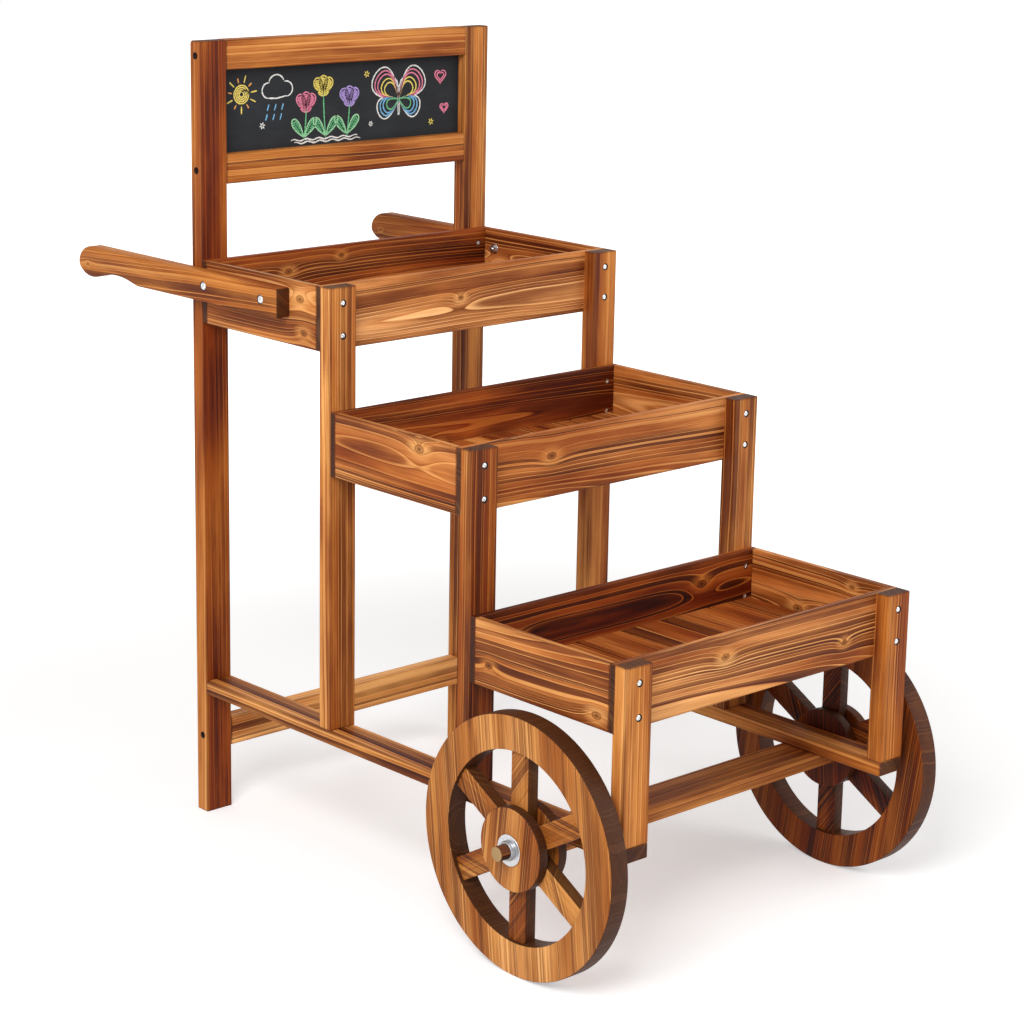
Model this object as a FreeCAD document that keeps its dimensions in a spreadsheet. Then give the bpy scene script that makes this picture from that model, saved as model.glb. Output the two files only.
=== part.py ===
import FreeCAD, Part

import math
import os
import re

import Sketcher

# Flower cart stand: three planter boxes in steps on a softwood frame, with a chalkboard, two
# fixed handles and two spoked wooden wheels that turn on a fixed axle.
#
# Millimetres. X runs across the cart (left is -X), Y runs from the wheels towards the handles,
# Z is up. The origin is on the floor, at the middle of the cart's whole length and width.

doc = FreeCAD.newDocument("flower_cart_stand")

# ------------------------------------------------------------------------------- sizes

SIZES = [
    # frame stock
    ("cart_width", 540, "over the outer faces of posts, legs and boxes"),
    ("post_width", 45, "posts, legs and side rails, across the cart"),
    ("post_depth", 24, "posts and legs, along the cart"),
    ("post_height", 1140, "floor to the top of the chalkboard"),
    ("post_face", 309.5, "Y of the posts' front faces"),
    ("post_crown", 5, "rounding of the posts' rear top edges"),
    ("arris", 1, "chamfer along every edge of the frame stock"),
    ("rail_depth", 45, "lower back rail, upright"),
    ("rail_thick", 20, "side rails, lower back rail and axle beam"),
    ("rail_top", 205, "top of the side rails, where the legs stand"),
    ("back_rail_base", 96, "underside of the lower back rail"),
    # boxes and their legs
    ("tier_pitch", 290, "from one step's leg face to the next"),
    ("top_rim", 832, "height of the top box's rim"),
    ("middle_rim", 662, "height of the middle box's rim"),
    ("bottom_rim", 442, "height of the bottom box's rim"),
    ("board_depth", 90, "height of the box boards"),
    ("board_thick", 10, "box boards"),
    ("board_arris", 0.8, "chamfer along every edge of the box boards"),
    ("leg_rebate", 3, "front board let into the legs"),
    ("ledger_side", 12, "square strips under the floor slats"),
    ("slat_thick", 8, "floor slats"),
    ("slat_width", 80, "floor slats"),
    ("slat_count", 6, "floor slats in one box"),
    ("slat_play", 0.5, "gap at each end of a slat"),
    # chalkboard
    ("frame_rail", 42, "height of the chalkboard's two rails"),
    ("lower_frame_base", 937, "underside of the chalkboard's lower rail"),
    ("panel_thick", 4, "chalkboard panel"),
    ("panel_inset", 16, "from the posts' front faces to the panel"),
    ("groove_depth", 6, "panel let into rails and posts"),
    # handles
    ("handle_thick", 24, "across the cart"),
    ("handle_depth", 42, "height of the straight part"),
    ("handle_base", 780, "underside of the straight part"),
    ("handle_front", 202, "from the posts' faces forward to the handle's end"),
    ("handle_reach", 278, "from the posts' faces back to the grip's end"),
    ("handle_edge", 3, "chamfer along the handle's edges"),
    # wheels
    ("wheel_radius", 175, "rim, and the height of the axle"),
    ("rim_inner", 129, "inner radius of the rim"),
    ("rim_thick", 30, "across the cart"),
    ("wheel_middle", 300, "from the cart's middle to the middle of a rim"),
    ("axle_setback", 722, "from the posts' faces forward to the axle"),
    ("spoke_count", 6, "spokes in one wheel"),
    ("spoke_width", 32, "in the plane of the wheel"),
    ("spoke_thick", 18, "across the cart"),
    ("hub_radius", 56, "hub discs"),
    ("hub_thick", 15, "hub discs"),
    ("hub_bore", 20.6, "running bore on the axle"),
    # axle
    ("beam_depth", 64, "axle beam, along the cart"),
    ("axle_dia", 20, "journal"),
    ("spigot_dia", 12, "hexagonal spigot glued into the beam, over its corners"),
    ("spigot_reach", 60, "spigot"),
    ("axle_tip", 347, "from the cart's middle to the axle's end"),
    ("axle_nose", 1.5, "chamfer of the axle's end"),
    ("washer_dia", 42, "axle washers"),
    ("washer_bore", 20.6, "axle washers"),
    ("washer_thick", 2, "axle washers"),
    ("end_play", 0.4, "between a washer and the hub"),
    ("collar_dia", 27, "retaining collars"),
    ("collar_thick", 6, "retaining collars"),
    # fasteners
    ("screw_row", 22.5, "from a box board's edges to its screws"),
    ("leg_shank", 4.5, "leg screws"),
    ("leg_screw_length", 27, "leg screws, under the head"),
    ("leg_head", 8, "leg screws"),
    ("leg_head_height", 2.5, "leg screws"),
    ("leg_sink", 10, "counterbore round a leg screw's head"),
    ("frame_shank", 5, "frame screws"),
    ("frame_head", 9, "frame screws"),
    ("frame_head_height", 3.5, "frame screws"),
    ("frame_screw_length", 60, "frame screws, under the head"),
    ("frame_sink", 10, "counterbore round a frame screw's head"),
    ("frame_sink_depth", 12, "counterbore round a frame screw's head"),
    ("flush_head", 9, "screws let in flush"),
    ("flush_height", 3, "head of a screw let in flush"),
    ("flush_shank", 4.5, "screws let in flush"),
    ("short_screw", 25, "flush screws through a box's back board, under the head"),
    ("beam_screw", 32, "flush screws through the axle beam, under the head"),
    ("long_screw", 57, "flush screws into end grain, under the head"),
    ("pilot_spare", 1, "a pilot hole deeper than its screw"),
    ("rail_screw_spread", 12, "from a side rail's middle to its screws"),
    ("beam_screw_spread", 20, "from the axle to the beam's screws"),
    ("bolt_dia", 6, "handle bolts"),
    ("bolt_head", 11, "handle bolts"),
    ("bolt_head_height", 3.5, "handle bolts"),
    ("bolt_sink", 13, "counterbore round a bolt's head"),
    ("bolt_sink_depth", 2, "counterbore round a bolt's head"),
    ("bolt_rise", 22, "from the handle's underside to its bolts"),
    ("bolt_near", 34, "from the posts' faces to the rear bolt"),
    ("bolt_far", 166, "from the posts' faces to the front bolt"),
    ("bolt_length", 40, "handle bolts, under the head"),
    ("nut_width", 10, "handle nuts, across the flats"),
    ("nut_height", 5, "handle nuts"),
    ("bolt_washer_dia", 16, "handle washers"),
    ("bolt_washer_thick", 1.5, "handle washers"),
    ("fastener_play", 0.1, "added to a fastener's hole"),
]

sheet = doc.addObject("Spreadsheet::Sheet", "Sizes")
for row, (alias, amount, meaning) in enumerate(SIZES, start=1):
    sheet.set(f"A{row}", alias.replace("_", " "))
    sheet.set(f"B{row}", str(amount))
    sheet.set(f"C{row}", meaning)
    sheet.setAlias(f"B{row}", alias)
doc.recompute()

CELL_NAMES = r"\b(" + "|".join(alias for alias, _, _ in SIZES) + r")\b"
TIERS = ("top", "middle", "bottom")
SIDES = {"left": -1, "right": 1}
X_AXIS = FreeCAD.Vector(1, 0, 0)
Y_AXIS = FreeCAD.Vector(0, 1, 0)
Z_AXIS = FreeCAD.Vector(0, 0, 1)

# Turns a piece made along +Z so that it points along X, outwards on its own side of the cart.
ALONG_X = {
    side: FreeCAD.Rotation(Y_AXIS, 90 * sign).multiply(FreeCAD.Rotation(Z_AXIS, 90))
    for side, sign in SIDES.items()
}

nodes = []


def formula(text):
    """A formula in plain cell names, as the document wants it."""
    return re.sub(CELL_NAMES, r"Sizes.\g<0>", str(text))


def number(text):
    """What a formula comes to."""
    return float(sheet.evalExpression(formula(text)))


def place(item, at, turn=None):
    """Puts an object at a point given by three formulas, turned if a rotation is given."""
    if turn is not None:
        item.Placement = FreeCAD.Placement(FreeCAD.Vector(), turn)
    for axis, text in zip("xyz", at):
        item.setExpression(f"Placement.Base.{axis}", formula(text))


# ------------------------------------------------------------- sketches and features


def new_body(label):
    """An empty body that becomes the node called label."""
    body = doc.addObject("PartDesign::Body", "Body_" + label)
    body.Label = label
    return body


def new_sketch(body, plane, offset="0"):
    """A sketch on an origin plane of the body, moved along the plane's normal by a formula."""
    sketch = body.newObject("Sketcher::SketchObject", "Sketch")
    role = next(item for item in body.Origin.OriginFeatures if item.Role == plane)
    sketch.AttachmentSupport = [(role, "")]
    sketch.MapMode = "FlatFace"
    sketch.setExpression("AttachmentOffset.Base.z", formula(offset))
    return sketch


def bind(sketch, kind, where, text):
    """Adds a dimension to a sketch and binds it to a formula."""
    index = sketch.addConstraint(Sketcher.Constraint(kind, *where, number(text)))
    sketch.setExpression(f"Constraints[{index}]", formula(text))


def pin_point(sketch, edge, end, across, up):
    """Fixes one point of a sketch at two formulas, measured from the sketch's origin."""
    bind(sketch, "DistanceX", (-1, 1, edge, end), across)
    bind(sketch, "DistanceY", (-1, 1, edge, end), up)


def edge_between(start, end, radius):
    """A straight edge, or an arc that bulges to the right of its way, or to the left if negative."""
    if not radius:
        return Part.LineSegment(start, end)
    chord = end - start
    rise = abs(radius) - math.sqrt(radius**2 - (chord.Length / 2) ** 2)
    outward = FreeCAD.Vector(chord.y, -chord.x, 0).normalize()
    return Part.Arc(start, (start + end) * 0.5 + outward * math.copysign(rise, radius), end)


def add_outline(sketch, points):
    """A closed outline, run anticlockwise if it has arcs, through points of two formulas each.

    A third entry is the radius of the arc that leads to the point, negative in a hollow.
    """
    first = sketch.GeometryCount
    count = len(points)
    spots = [FreeCAD.Vector(number(point[0]), number(point[1]), 0) for point in points]
    radii = [number(point[2]) if len(point) > 2 else 0 for point in points]
    for index in range(count):
        sketch.addGeometry(edge_between(spots[index - 1], spots[index], radii[index]), False)
    for index, point in enumerate(points):
        edge, after = first + index, (index + 1) % count
        arrives = 1 if radii[index] < 0 else 2
        leaves = 2 if radii[after] < 0 else 1
        join = Sketcher.Constraint("Coincident", edge, arrives, first + after, leaves)
        sketch.addConstraint(join)
        pin_point(sketch, edge, arrives, point[0], point[1])
        if radii[index]:
            bind(sketch, "Radius", (edge,), f"abs({point[2]})")


def add_circle(sketch, across, up, diameter):
    """A circle with its centre and diameter given by formulas."""
    centre = FreeCAD.Vector(number(across), number(up), 0)
    circle = Part.Circle(centre, Z_AXIS, number(diameter) / 2)
    edge = sketch.addGeometry(circle, False)
    pin_point(sketch, edge, 3, across, up)
    bind(sketch, "Diameter", (edge,), diameter)


def add_polygon(sketch, across, up, diameter, sides):
    """A regular polygon with its first corner along +x, its centre and width given by formulas."""
    corners = []
    for corner in range(sides):
        turn = f"{360 * corner / sides} deg"
        radius = f"({diameter}) / 2"
        corners.append((f"{across} + {radius} * cos({turn})", f"{up} + {radius} * sin({turn})"))
    add_outline(sketch, corners)


def pad(body, sketch, depth, reverse=False):
    """Thickens a sketch along its normal, or against it."""
    feature = body.newObject("PartDesign::Pad", "Pad")
    feature.Profile = sketch
    feature.setExpression("Length", formula(depth))
    feature.Reversed = reverse
    doc.recompute()


def cut(body, sketch, depth, reverse=False):
    """A pocket that has to take something off the body."""
    before = body.Shape.Volume
    feature = body.newObject("PartDesign::Pocket", "Pocket")
    feature.Profile = sketch
    feature.setExpression("Length", formula(depth))
    feature.Reversed = reverse
    doc.recompute()
    if body.Shape.Volume >= before - 1e-6:
        raise RuntimeError(f"a pocket of {body.Label} cuts nothing")


def break_edges(body, width):
    """Chamfers every edge of the body."""
    base = body.Tip
    feature = body.newObject("PartDesign::Chamfer", "Chamfer")
    feature.Base = (base, ["Edge1"])
    feature.UseAllEdges = True
    feature.setExpression("Size", formula(width))
    doc.recompute()


# For a hole along an axis of the body: the origin plane to sketch on, and the sign of that
# plane's normal along the axis. The sketch's own axes are the body's two others, in order.
DRILL_PLANES = {"X": ("YZ_Plane", 1), "Y": ("XZ_Plane", -1), "Z": ("XY_Plane", 1)}


# Screws and their holes are many and small, so they are drawn with a few flats: six where they
# are out of sight, and more for what shows.
HIDDEN = 6
IN_SIGHT = 10


def drill(body, axis, start, depth, diameter, centres, sides=HIDDEN):
    """Holes of one size along +axis, from the plane at start and depth deep."""
    plane, sign = DRILL_PLANES[axis]
    sketch = new_sketch(body, plane, f"{sign} * ({start})")
    for across, up in centres:
        add_polygon(sketch, across, up, diameter, sides)
    doc.recompute()
    cut(body, sketch, depth, reverse=sign > 0)


def timber(label, length_x, length_y, length_z, at, edges="arris"):
    """A planed board with its lowest corner at a point, its edges broken."""
    body = new_body(label)
    sketch = new_sketch(body, "XY_Plane")
    corners = [("0", "0"), (length_x, "0"), (length_x, length_y), ("0", length_y)]
    add_outline(sketch, corners)
    doc.recompute()
    pad(body, sketch, length_z)
    if edges:
        break_edges(body, edges)
    place(body, at)
    nodes.append(body)
    return body


def revolved(label, points):
    """A solid turned about its own Z axis from a half section (radius, height)."""
    body = new_body(label)
    sketch = new_sketch(body, "XZ_Plane")
    add_outline(sketch, points)
    doc.recompute()
    feature = body.newObject("PartDesign::Revolution", "Revolution")
    feature.Profile = sketch
    feature.ReferenceAxis = (sketch, ["V_Axis"])
    feature.Angle = 360
    doc.recompute()
    return body


def group(label, copies):
    """One node of separate solids: copies of made objects, each with its point and its turn."""
    links = []
    for source, at, turn in copies:
        link = doc.addObject("App::Link", "Link_" + label)
        link.setLink(source)
        place(link, at, turn)
        links.append(link)
    doc.recompute()
    compound = doc.addObject("Part::Compound", "Group_" + label)
    compound.Links = links
    compound.Label = label
    nodes.append(compound)


# ---------------------------------------------------------------- where things stand

HALF = "cart_width / 2"
POST_X = {"left": f"-{HALF}", "right": f"{HALF} - post_width"}
POST_MIDDLE = {
    "left": f"-({HALF} - post_width / 2)",
    "right": f"{HALF} - post_width / 2",
}
RIM = {tier: f"{tier}_rim" for tier in TIERS}
BOX_BACK = {tier: f"(post_face - {n} * tier_pitch)" for n, tier in enumerate(TIERS)}
LEG_FACE = {tier: f"(post_face - {n + 1} * tier_pitch)" for n, tier in enumerate(TIERS)}
BETWEEN_POSTS = "cart_width - 2 * post_width"
BOX_FRONT = {tier: f"({LEG_FACE[tier]} + post_depth - leg_rebate)" for tier in TIERS}
BOX_DEPTH = "(tier_pitch - post_depth + leg_rebate)"
AXLE_Y = "(post_face - axle_setback)"
AXLE_Z = "wheel_radius"
BEAM_TOP = "(rail_top - rail_thick)"
BEAM_BASE = "(rail_top - 2 * rail_thick)"
HUB_INNER = "(wheel_middle - spoke_thick / 2 - hub_thick)"
HUB_OUTER = "(wheel_middle + spoke_thick / 2 + hub_thick)"
BEAM_END = f"({HUB_INNER} - end_play - washer_thick)"
OUTER_WASHER = f"({HUB_OUTER} + end_play)"
BOARD_SCREWS = ("screw_row", "board_depth - screw_row")

# ----------------------------------------------------------------- posts and back rails

PANEL_BASE = "(lower_frame_base + frame_rail - groove_depth)"
PANEL_TOP = "(post_height - frame_rail + groove_depth)"
UPPER_SCREW = "post_height - frame_rail / 2"
LOWER_SCREW = "lower_frame_base + frame_rail / 2"
BACK_SCREW = "back_rail_base + rail_depth / 2"
SIDE_SCREW = "rail_top - rail_thick / 2"
RAIL_PILOT = "frame_screw_length + frame_sink_depth - post_width + pilot_spare"
FLUSH_HOLE = "flush_shank + fastener_play"
FLUSH_SINK = "flush_head + fastener_play"
BOARD_PILOT = "short_screw + flush_height - board_thick + pilot_spare"


def back_post(side):
    """An upright post: rounded behind at the top, grooved and drilled for what it carries."""
    sign = SIDES[side]
    body = new_body(f"back_post_{side}")
    sketch = new_sketch(body, "YZ_Plane")
    profile = [
        ("0", "0"),
        ("post_depth", "0"),
        ("post_depth", "post_height - post_crown"),
        ("post_depth - post_crown", "post_height", "post_crown"),
        ("0", "post_height"),
    ]
    add_outline(sketch, profile)
    doc.recompute()
    pad(body, sketch, "post_width")
    break_edges(body, "arris")
    place(body, (POST_X[side], "post_face", "0"))

    groove = new_sketch(body, "XY_Plane", PANEL_BASE)
    near = "post_width - groove_depth" if sign < 0 else "0"
    far = "post_width" if sign < 0 else "groove_depth"
    back = "panel_inset + panel_thick"
    add_outline(groove, [(near, "panel_inset"), (far, "panel_inset"), (far, back), (near, back)])
    doc.recompute()
    cut(body, groove, f"{PANEL_TOP} - {PANEL_BASE}", reverse=True)

    heights = [
        ("post_depth / 2", UPPER_SCREW),
        ("post_depth / 2", LOWER_SCREW),
        ("rail_thick / 2", BACK_SCREW),
    ]
    shank = "frame_shank + fastener_play"
    drill(body, "X", "0", "post_width", shank, heights)
    sink_start = "0" if sign < 0 else "post_width - frame_sink_depth"
    drill(body, "X", sink_start, "frame_sink_depth", "frame_sink", heights, IN_SIGHT)
    middle = "post_width / 2"
    rail_pair = [(f"{middle} {way} rail_screw_spread", SIDE_SCREW) for way in "-+"]
    drill(body, "Y", "0", "post_depth - flush_height", FLUSH_HOLE, rail_pair)
    drill(body, "Y", "post_depth - flush_height", "flush_height", FLUSH_SINK, rail_pair)
    board_pair = [(middle, f"top_rim - board_depth + {row}") for row in BOARD_SCREWS]
    drill(body, "Y", "0", BOARD_PILOT, FLUSH_HOLE, board_pair)
    nodes.append(body)


for side in SIDES:
    back_post(side)

CROSS_RAILS = {
    "chalkboard_top_rail": ("frame_rail", "post_depth", "post_height - frame_rail"),
    "chalkboard_bottom_rail": ("frame_rail", "post_depth", "lower_frame_base"),
    "lower_back_rail": ("rail_depth", "rail_thick", "back_rail_base"),
}
for label, (height, depth, base) in CROSS_RAILS.items():
    rail = timber(
        label, BETWEEN_POSTS, depth, height, (f"post_width - {HALF}", "post_face", base)
    )
    if label.startswith("chalkboard"):
        level = "0" if "top" in label else "frame_rail - groove_depth"
        groove = new_sketch(rail, "XY_Plane", level)
        back = "panel_inset + panel_thick"
        add_outline(
            groove,
            [
                ("0", "panel_inset"),
                (BETWEEN_POSTS, "panel_inset"),
                (BETWEEN_POSTS, back),
                ("0", back),
            ],
        )
        doc.recompute()
        cut(rail, groove, "groove_depth", reverse=True)
    centre = [(f"({depth}) / 2", f"({height}) / 2")]
    pilot = "frame_shank + fastener_play"
    drill(rail, "X", "0", RAIL_PILOT, pilot, centre)
    drill(rail, "X", f"{BETWEEN_POSTS} - ({RAIL_PILOT})", RAIL_PILOT, pilot, centre)

timber(
    "chalkboard_panel",
    f"{BETWEEN_POSTS} + 2 * groove_depth",
    "panel_thick",
    f"{PANEL_TOP} - {PANEL_BASE}",
    (f"post_width - groove_depth - {HALF}", "post_face + panel_inset", PANEL_BASE),
    edges=None,
)

# ------------------------------------------------------------------- side rails and beam

RAIL_LENGTH = "3 * tier_pitch"
RAIL_FRONT = "(post_face - 3 * tier_pitch)"
FOOT_ROWS = [f"{steps} * tier_pitch + post_depth / 2" for steps in range(len(TIERS))]
BEAM_ROWS = [f"{AXLE_Y} - {RAIL_FRONT} {sign} beam_screw_spread" for sign in "-+"]

for side in SIDES:
    rail = timber(
        f"side_rail_{side}",
        "post_width",
        RAIL_LENGTH,
        "rail_thick",
        (POST_X[side], RAIL_FRONT, BEAM_TOP),
    )
    middle = "post_width / 2"
    feet = [(middle, row) for row in FOOT_ROWS]
    drill(rail, "Z", "0", "rail_thick", FLUSH_HOLE, feet)
    drill(rail, "Z", "0", "flush_height", FLUSH_SINK, feet)
    depth = "beam_screw + flush_height - rail_thick + pilot_spare"
    drill(rail, "Z", "0", depth, FLUSH_HOLE, [(middle, row) for row in BEAM_ROWS])
    pair = [(f"{middle} {sign} rail_screw_spread", "rail_thick / 2") for sign in "-+"]
    depth = "long_screw + flush_height - post_depth + pilot_spare"
    drill(rail, "Y", f"{RAIL_LENGTH} - ({depth})", depth, FLUSH_HOLE, pair)

beam = timber(
    "axle_beam",
    f"2 * {BEAM_END}",
    "beam_depth",
    "rail_thick",
    (f"-{BEAM_END}", f"{AXLE_Y} - beam_depth / 2", BEAM_BASE),
)
beam_centre = [("beam_depth / 2", "rail_thick / 2")]
drill(beam, "X", "0", "spigot_reach", "spigot_dia", beam_centre)
drill(beam, "X", f"2 * {BEAM_END} - spigot_reach", "spigot_reach", "spigot_dia", beam_centre)
beam_screws = [
    (f"{BEAM_END} + {POST_MIDDLE[side]}", f"beam_depth / 2 {sign} beam_screw_spread")
    for side in SIDES
    for sign in "-+"
]
drill(beam, "Z", "0", "rail_thick", FLUSH_HOLE, beam_screws)
drill(beam, "Z", "0", "flush_height", FLUSH_SINK, beam_screws)

# -------------------------------------------------------------------- legs and boxes


def leg(tier, side):
    """A leg on a side rail, rebated at its head for the box's front board."""
    tall = f"{RIM[tier]} - rail_top"
    at = (POST_X[side], LEG_FACE[tier], "rail_top")
    body = timber(f"{tier}_leg_{side}", "post_width", "post_depth", tall, at)
    rebate = new_sketch(body, "XY_Plane", f"{tall} - board_depth")
    front = "post_depth - leg_rebate"
    add_outline(
        rebate,
        [("0", front), ("post_width", front), ("post_width", "post_depth"), ("0", "post_depth")],
    )
    doc.recompute()
    cut(body, rebate, "board_depth", reverse=True)

    middle = "post_width / 2"
    rows = [(middle, f"{tall} - board_depth + {row}") for row in BOARD_SCREWS]
    drill(body, "Y", "0", front, "leg_shank + fastener_play", rows)
    drill(body, "Y", "0", "leg_head_height", "leg_sink", rows, IN_SIGHT)
    foot = [(middle, "post_depth / 2")]
    depth = "long_screw + flush_height - rail_thick + pilot_spare"
    drill(body, "Z", "0", depth, FLUSH_HOLE, foot)
    if tier != TIERS[-1]:
        below = RIM[TIERS[TIERS.index(tier) + 1]]
        rows = [(middle, f"{below} - rail_top - board_depth + {row}") for row in BOARD_SCREWS]
        drill(body, "Y", "0", BOARD_PILOT, FLUSH_HOLE, rows)


def box(tier):
    """Four boards, two ledgers and a floor of slats."""
    base = f"{RIM[tier]} - board_depth"
    inside = "cart_width - 2 * board_thick"
    front = BOX_FRONT[tier]
    long_boards = {
        "front_board": (front, "leg_shank + fastener_play"),
        "back_board": (f"{BOX_BACK[tier]} - board_thick", FLUSH_HOLE),
    }
    for part, (face, hole) in long_boards.items():
        at = (f"-{HALF}", face, base)
        label = f"{tier}_box_{part}"
        body = timber(label, "cart_width", "board_thick", "board_depth", at, "board_arris")
        screws = [(f"{HALF} + {POST_MIDDLE[side]}", row) for side in SIDES for row in BOARD_SCREWS]
        drill(body, "Y", "0", "board_thick", hole, screws)
        if part == "back_board":
            drill(body, "Y", "0", "flush_height", FLUSH_SINK, screws)

    end_x = {"left": f"-{HALF}", "right": f"{HALF} - board_thick"}
    length = f"({BOX_DEPTH} - 2 * board_thick)"
    for side in SIDES:
        at = (end_x[side], f"{front} + board_thick", base)
        label = f"{tier}_box_{side}_end"
        body = timber(label, "board_thick", length, "board_depth", at, "board_arris")
        if tier == "top":
            height = f"handle_base + bolt_rise - ({base})"
            start = f"post_face - {front} - board_thick"
            bolts = [(f"{start} - {reach}", height) for reach in ("bolt_near", "bolt_far")]
            drill(body, "X", "0", "board_thick", "bolt_dia + fastener_play", bolts)

    ledgers = {
        "front_ledger": f"{front} + board_thick",
        "back_ledger": f"{BOX_BACK[tier]} - board_thick - ledger_side",
    }
    for part, row in ledgers.items():
        at = (f"board_thick - {HALF}", row, base)
        timber(f"{tier}_box_{part}", inside, "ledger_side", "ledger_side", at, None)

    slat = doc.addObject("Part::Box", f"Slat_{tier}")
    slat.setExpression("Length", formula("slat_width"))
    slat.setExpression("Width", formula(f"{BOX_DEPTH} - 2 * board_thick - 2 * slat_play"))
    slat.setExpression("Height", formula("slat_thick"))
    gap = f"({inside} - slat_count * slat_width) / (slat_count + 1)"
    copies = []
    for index in range(int(number("slat_count"))):
        start = f"board_thick - {HALF} + {index + 1} * {gap} + {index} * slat_width"
        at = (start, f"{front} + board_thick + slat_play", f"{base} + ledger_side")
        copies.append((slat, at, None))
    group(f"{tier}_box_floor_slats", copies)


for tier in TIERS:
    for side in SIDES:
        leg(tier, side)
    box(tier)

# -------------------------------------------------------------------------- handles

# The outline of the grip, from the straight underside round to the top: distance from the
# grip's end, height above the straight underside, and the radius of the arc that leads there.
# A negative radius hollows the wood, and no radius means a straight line.
GRIP = [
    (152, -1.6, 0),
    (144, -0.6, 33),
    (131, 2.4, 0),
    (51, -0.4, -145),
    (32, -3.4, 62),
    (3, 8.6, 41),
    (0, 16, 10.5),
    (6.4, 31.4, 21.8),
    (32, "handle_depth", 36.2),
]


def handle(side):
    """A flat bar with a shaped grip, its edges broken for the hand."""
    body = new_body(f"handle_{side}")
    sketch = new_sketch(body, "YZ_Plane")
    grip = [(f"handle_front + handle_reach - {back}", up, radius) for back, up, radius in GRIP]
    add_outline(sketch, [("0", "0"), *grip, ("0", "handle_depth")])
    doc.recompute()
    pad(body, sketch, "handle_thick")
    break_edges(body, "handle_edge")

    outer = f"-{HALF} - handle_thick" if side == "left" else HALF
    place(body, (outer, "post_face - handle_front", "handle_base"))
    bolts = [(f"handle_front - {reach}", "bolt_rise") for reach in ("bolt_near", "bolt_far")]
    drill(body, "X", "0", "handle_thick", "bolt_dia + fastener_play", bolts)
    sink = "0" if side == "left" else "handle_thick - bolt_sink_depth"
    drill(body, "X", sink, "bolt_sink_depth", "bolt_sink", bolts, IN_SIGHT)
    nodes.append(body)


for side in SIDES:
    handle(side)

# --------------------------------------------------------------------------- wheels


def disc(label, radius, bore, thick, at):
    """A flat ring turned for the wheel, its left face at a point."""
    section = [(f"{bore} / 2", "0"), (radius, "0"), (radius, thick), (f"{bore} / 2", thick)]
    body = revolved(label, section)
    place(body, at, ALONG_X["right"])
    nodes.append(body)


def spoke():
    """One spoke along +Z, mitred to its neighbours round the bore, its end curved to the rim."""
    body = new_body("spoke")
    sketch = new_sketch(body, "YZ_Plane")
    half = "spoke_width / 2"
    mitre = f"{half} / tan(180 deg / spoke_count)"
    add_outline(
        sketch,
        [("0", "0"), (half, mitre), (half, "rim_inner"), (f"-{half}", "rim_inner"), (f"-{half}", mitre)],
    )
    doc.recompute()
    pad(body, sketch, "spoke_thick")
    bore = new_sketch(body, "YZ_Plane")
    add_circle(bore, "0", "0", "hub_bore")
    doc.recompute()
    cut(body, bore, "spoke_thick", reverse=True)
    return body


def trimmed_spoke():
    """The spoke kept inside the rim's inner circle."""
    blank = spoke()
    inside = doc.addObject("Part::Cylinder", "Inside_rim")
    inside.setExpression("Radius", formula("rim_inner"))
    inside.setExpression("Height", formula("spoke_thick"))
    inside.Placement = FreeCAD.Placement(FreeCAD.Vector(), FreeCAD.Rotation(Y_AXIS, 90))
    common = doc.addObject("Part::Common", "Trimmed_spoke")
    common.Base = blank
    common.Tool = inside
    doc.recompute()
    return common


spoke_master = trimmed_spoke()


def wheel(side):
    """Rim, six spokes and a hub disc on each side of them."""
    sign = SIDES[side]
    outward = "" if sign > 0 else "-"
    rim_at = (f"{outward}wheel_middle - rim_thick / 2", AXLE_Y, AXLE_Z)
    disc(f"{side}_wheel_rim", "wheel_radius", "2 * rim_inner", "rim_thick", rim_at)
    for part, inner in (("hub_inner_disc", HUB_INNER), ("hub_outer_disc", f"({HUB_OUTER} - hub_thick)")):
        start = inner if sign > 0 else f"-{inner} - hub_thick"
        disc(f"{side}_wheel_{part}", "hub_radius", "hub_bore", "hub_thick", (start, AXLE_Y, AXLE_Z))
    turns = int(number("spoke_count"))
    at = (f"{outward}wheel_middle - spoke_thick / 2", AXLE_Y, AXLE_Z)
    copies = [
        (spoke_master, at, FreeCAD.Rotation(X_AXIS, 360 * n / turns)) for n in range(turns)
    ]
    group(f"{side}_wheel_spokes", copies)


for side in SIDES:
    wheel(side)

# ----------------------------------------------------------------- axle and its hardware

JOURNAL = f"(axle_tip - {BEAM_END})"
for side, sign in SIDES.items():
    stub = revolved(
        f"axle_stub_{side}",
        [
            ("0", "0"),
            ("axle_dia / 2", "0"),
            ("axle_dia / 2", f"{JOURNAL} - axle_nose"),
            ("axle_dia / 2 - axle_nose", JOURNAL),
            ("0", JOURNAL),
        ],
    )
    spigot = new_sketch(stub, "XY_Plane")
    add_polygon(spigot, "0", "0", "spigot_dia", HIDDEN)
    doc.recompute()
    pad(stub, spigot, "spigot_reach", reverse=True)
    outward = "" if sign > 0 else "-"
    place(stub, (f"{outward}{BEAM_END}", AXLE_Y, AXLE_Z), ALONG_X[side])
    nodes.append(stub)

WASHER = [
    ("washer_bore / 2", "0"),
    ("washer_dia / 2", "0"),
    ("washer_dia / 2", "washer_thick"),
    ("washer_bore / 2", "washer_thick"),
]
COLLAR = [
    ("axle_dia / 2", "0"),
    ("collar_dia / 2", "0"),
    ("collar_dia / 2", "collar_thick"),
    ("axle_dia / 2", "collar_thick"),
]
washer = revolved("washer", WASHER)
collar = revolved("collar", COLLAR)


def on_axle(source, reach):
    """The two copies of a turned piece on the axle, facing away from the cart."""
    copies = []
    for side, sign in SIDES.items():
        outward = "" if sign > 0 else "-"
        copies.append((source, (f"{outward}{reach}", AXLE_Y, AXLE_Z), ALONG_X[side]))
    return copies


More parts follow.
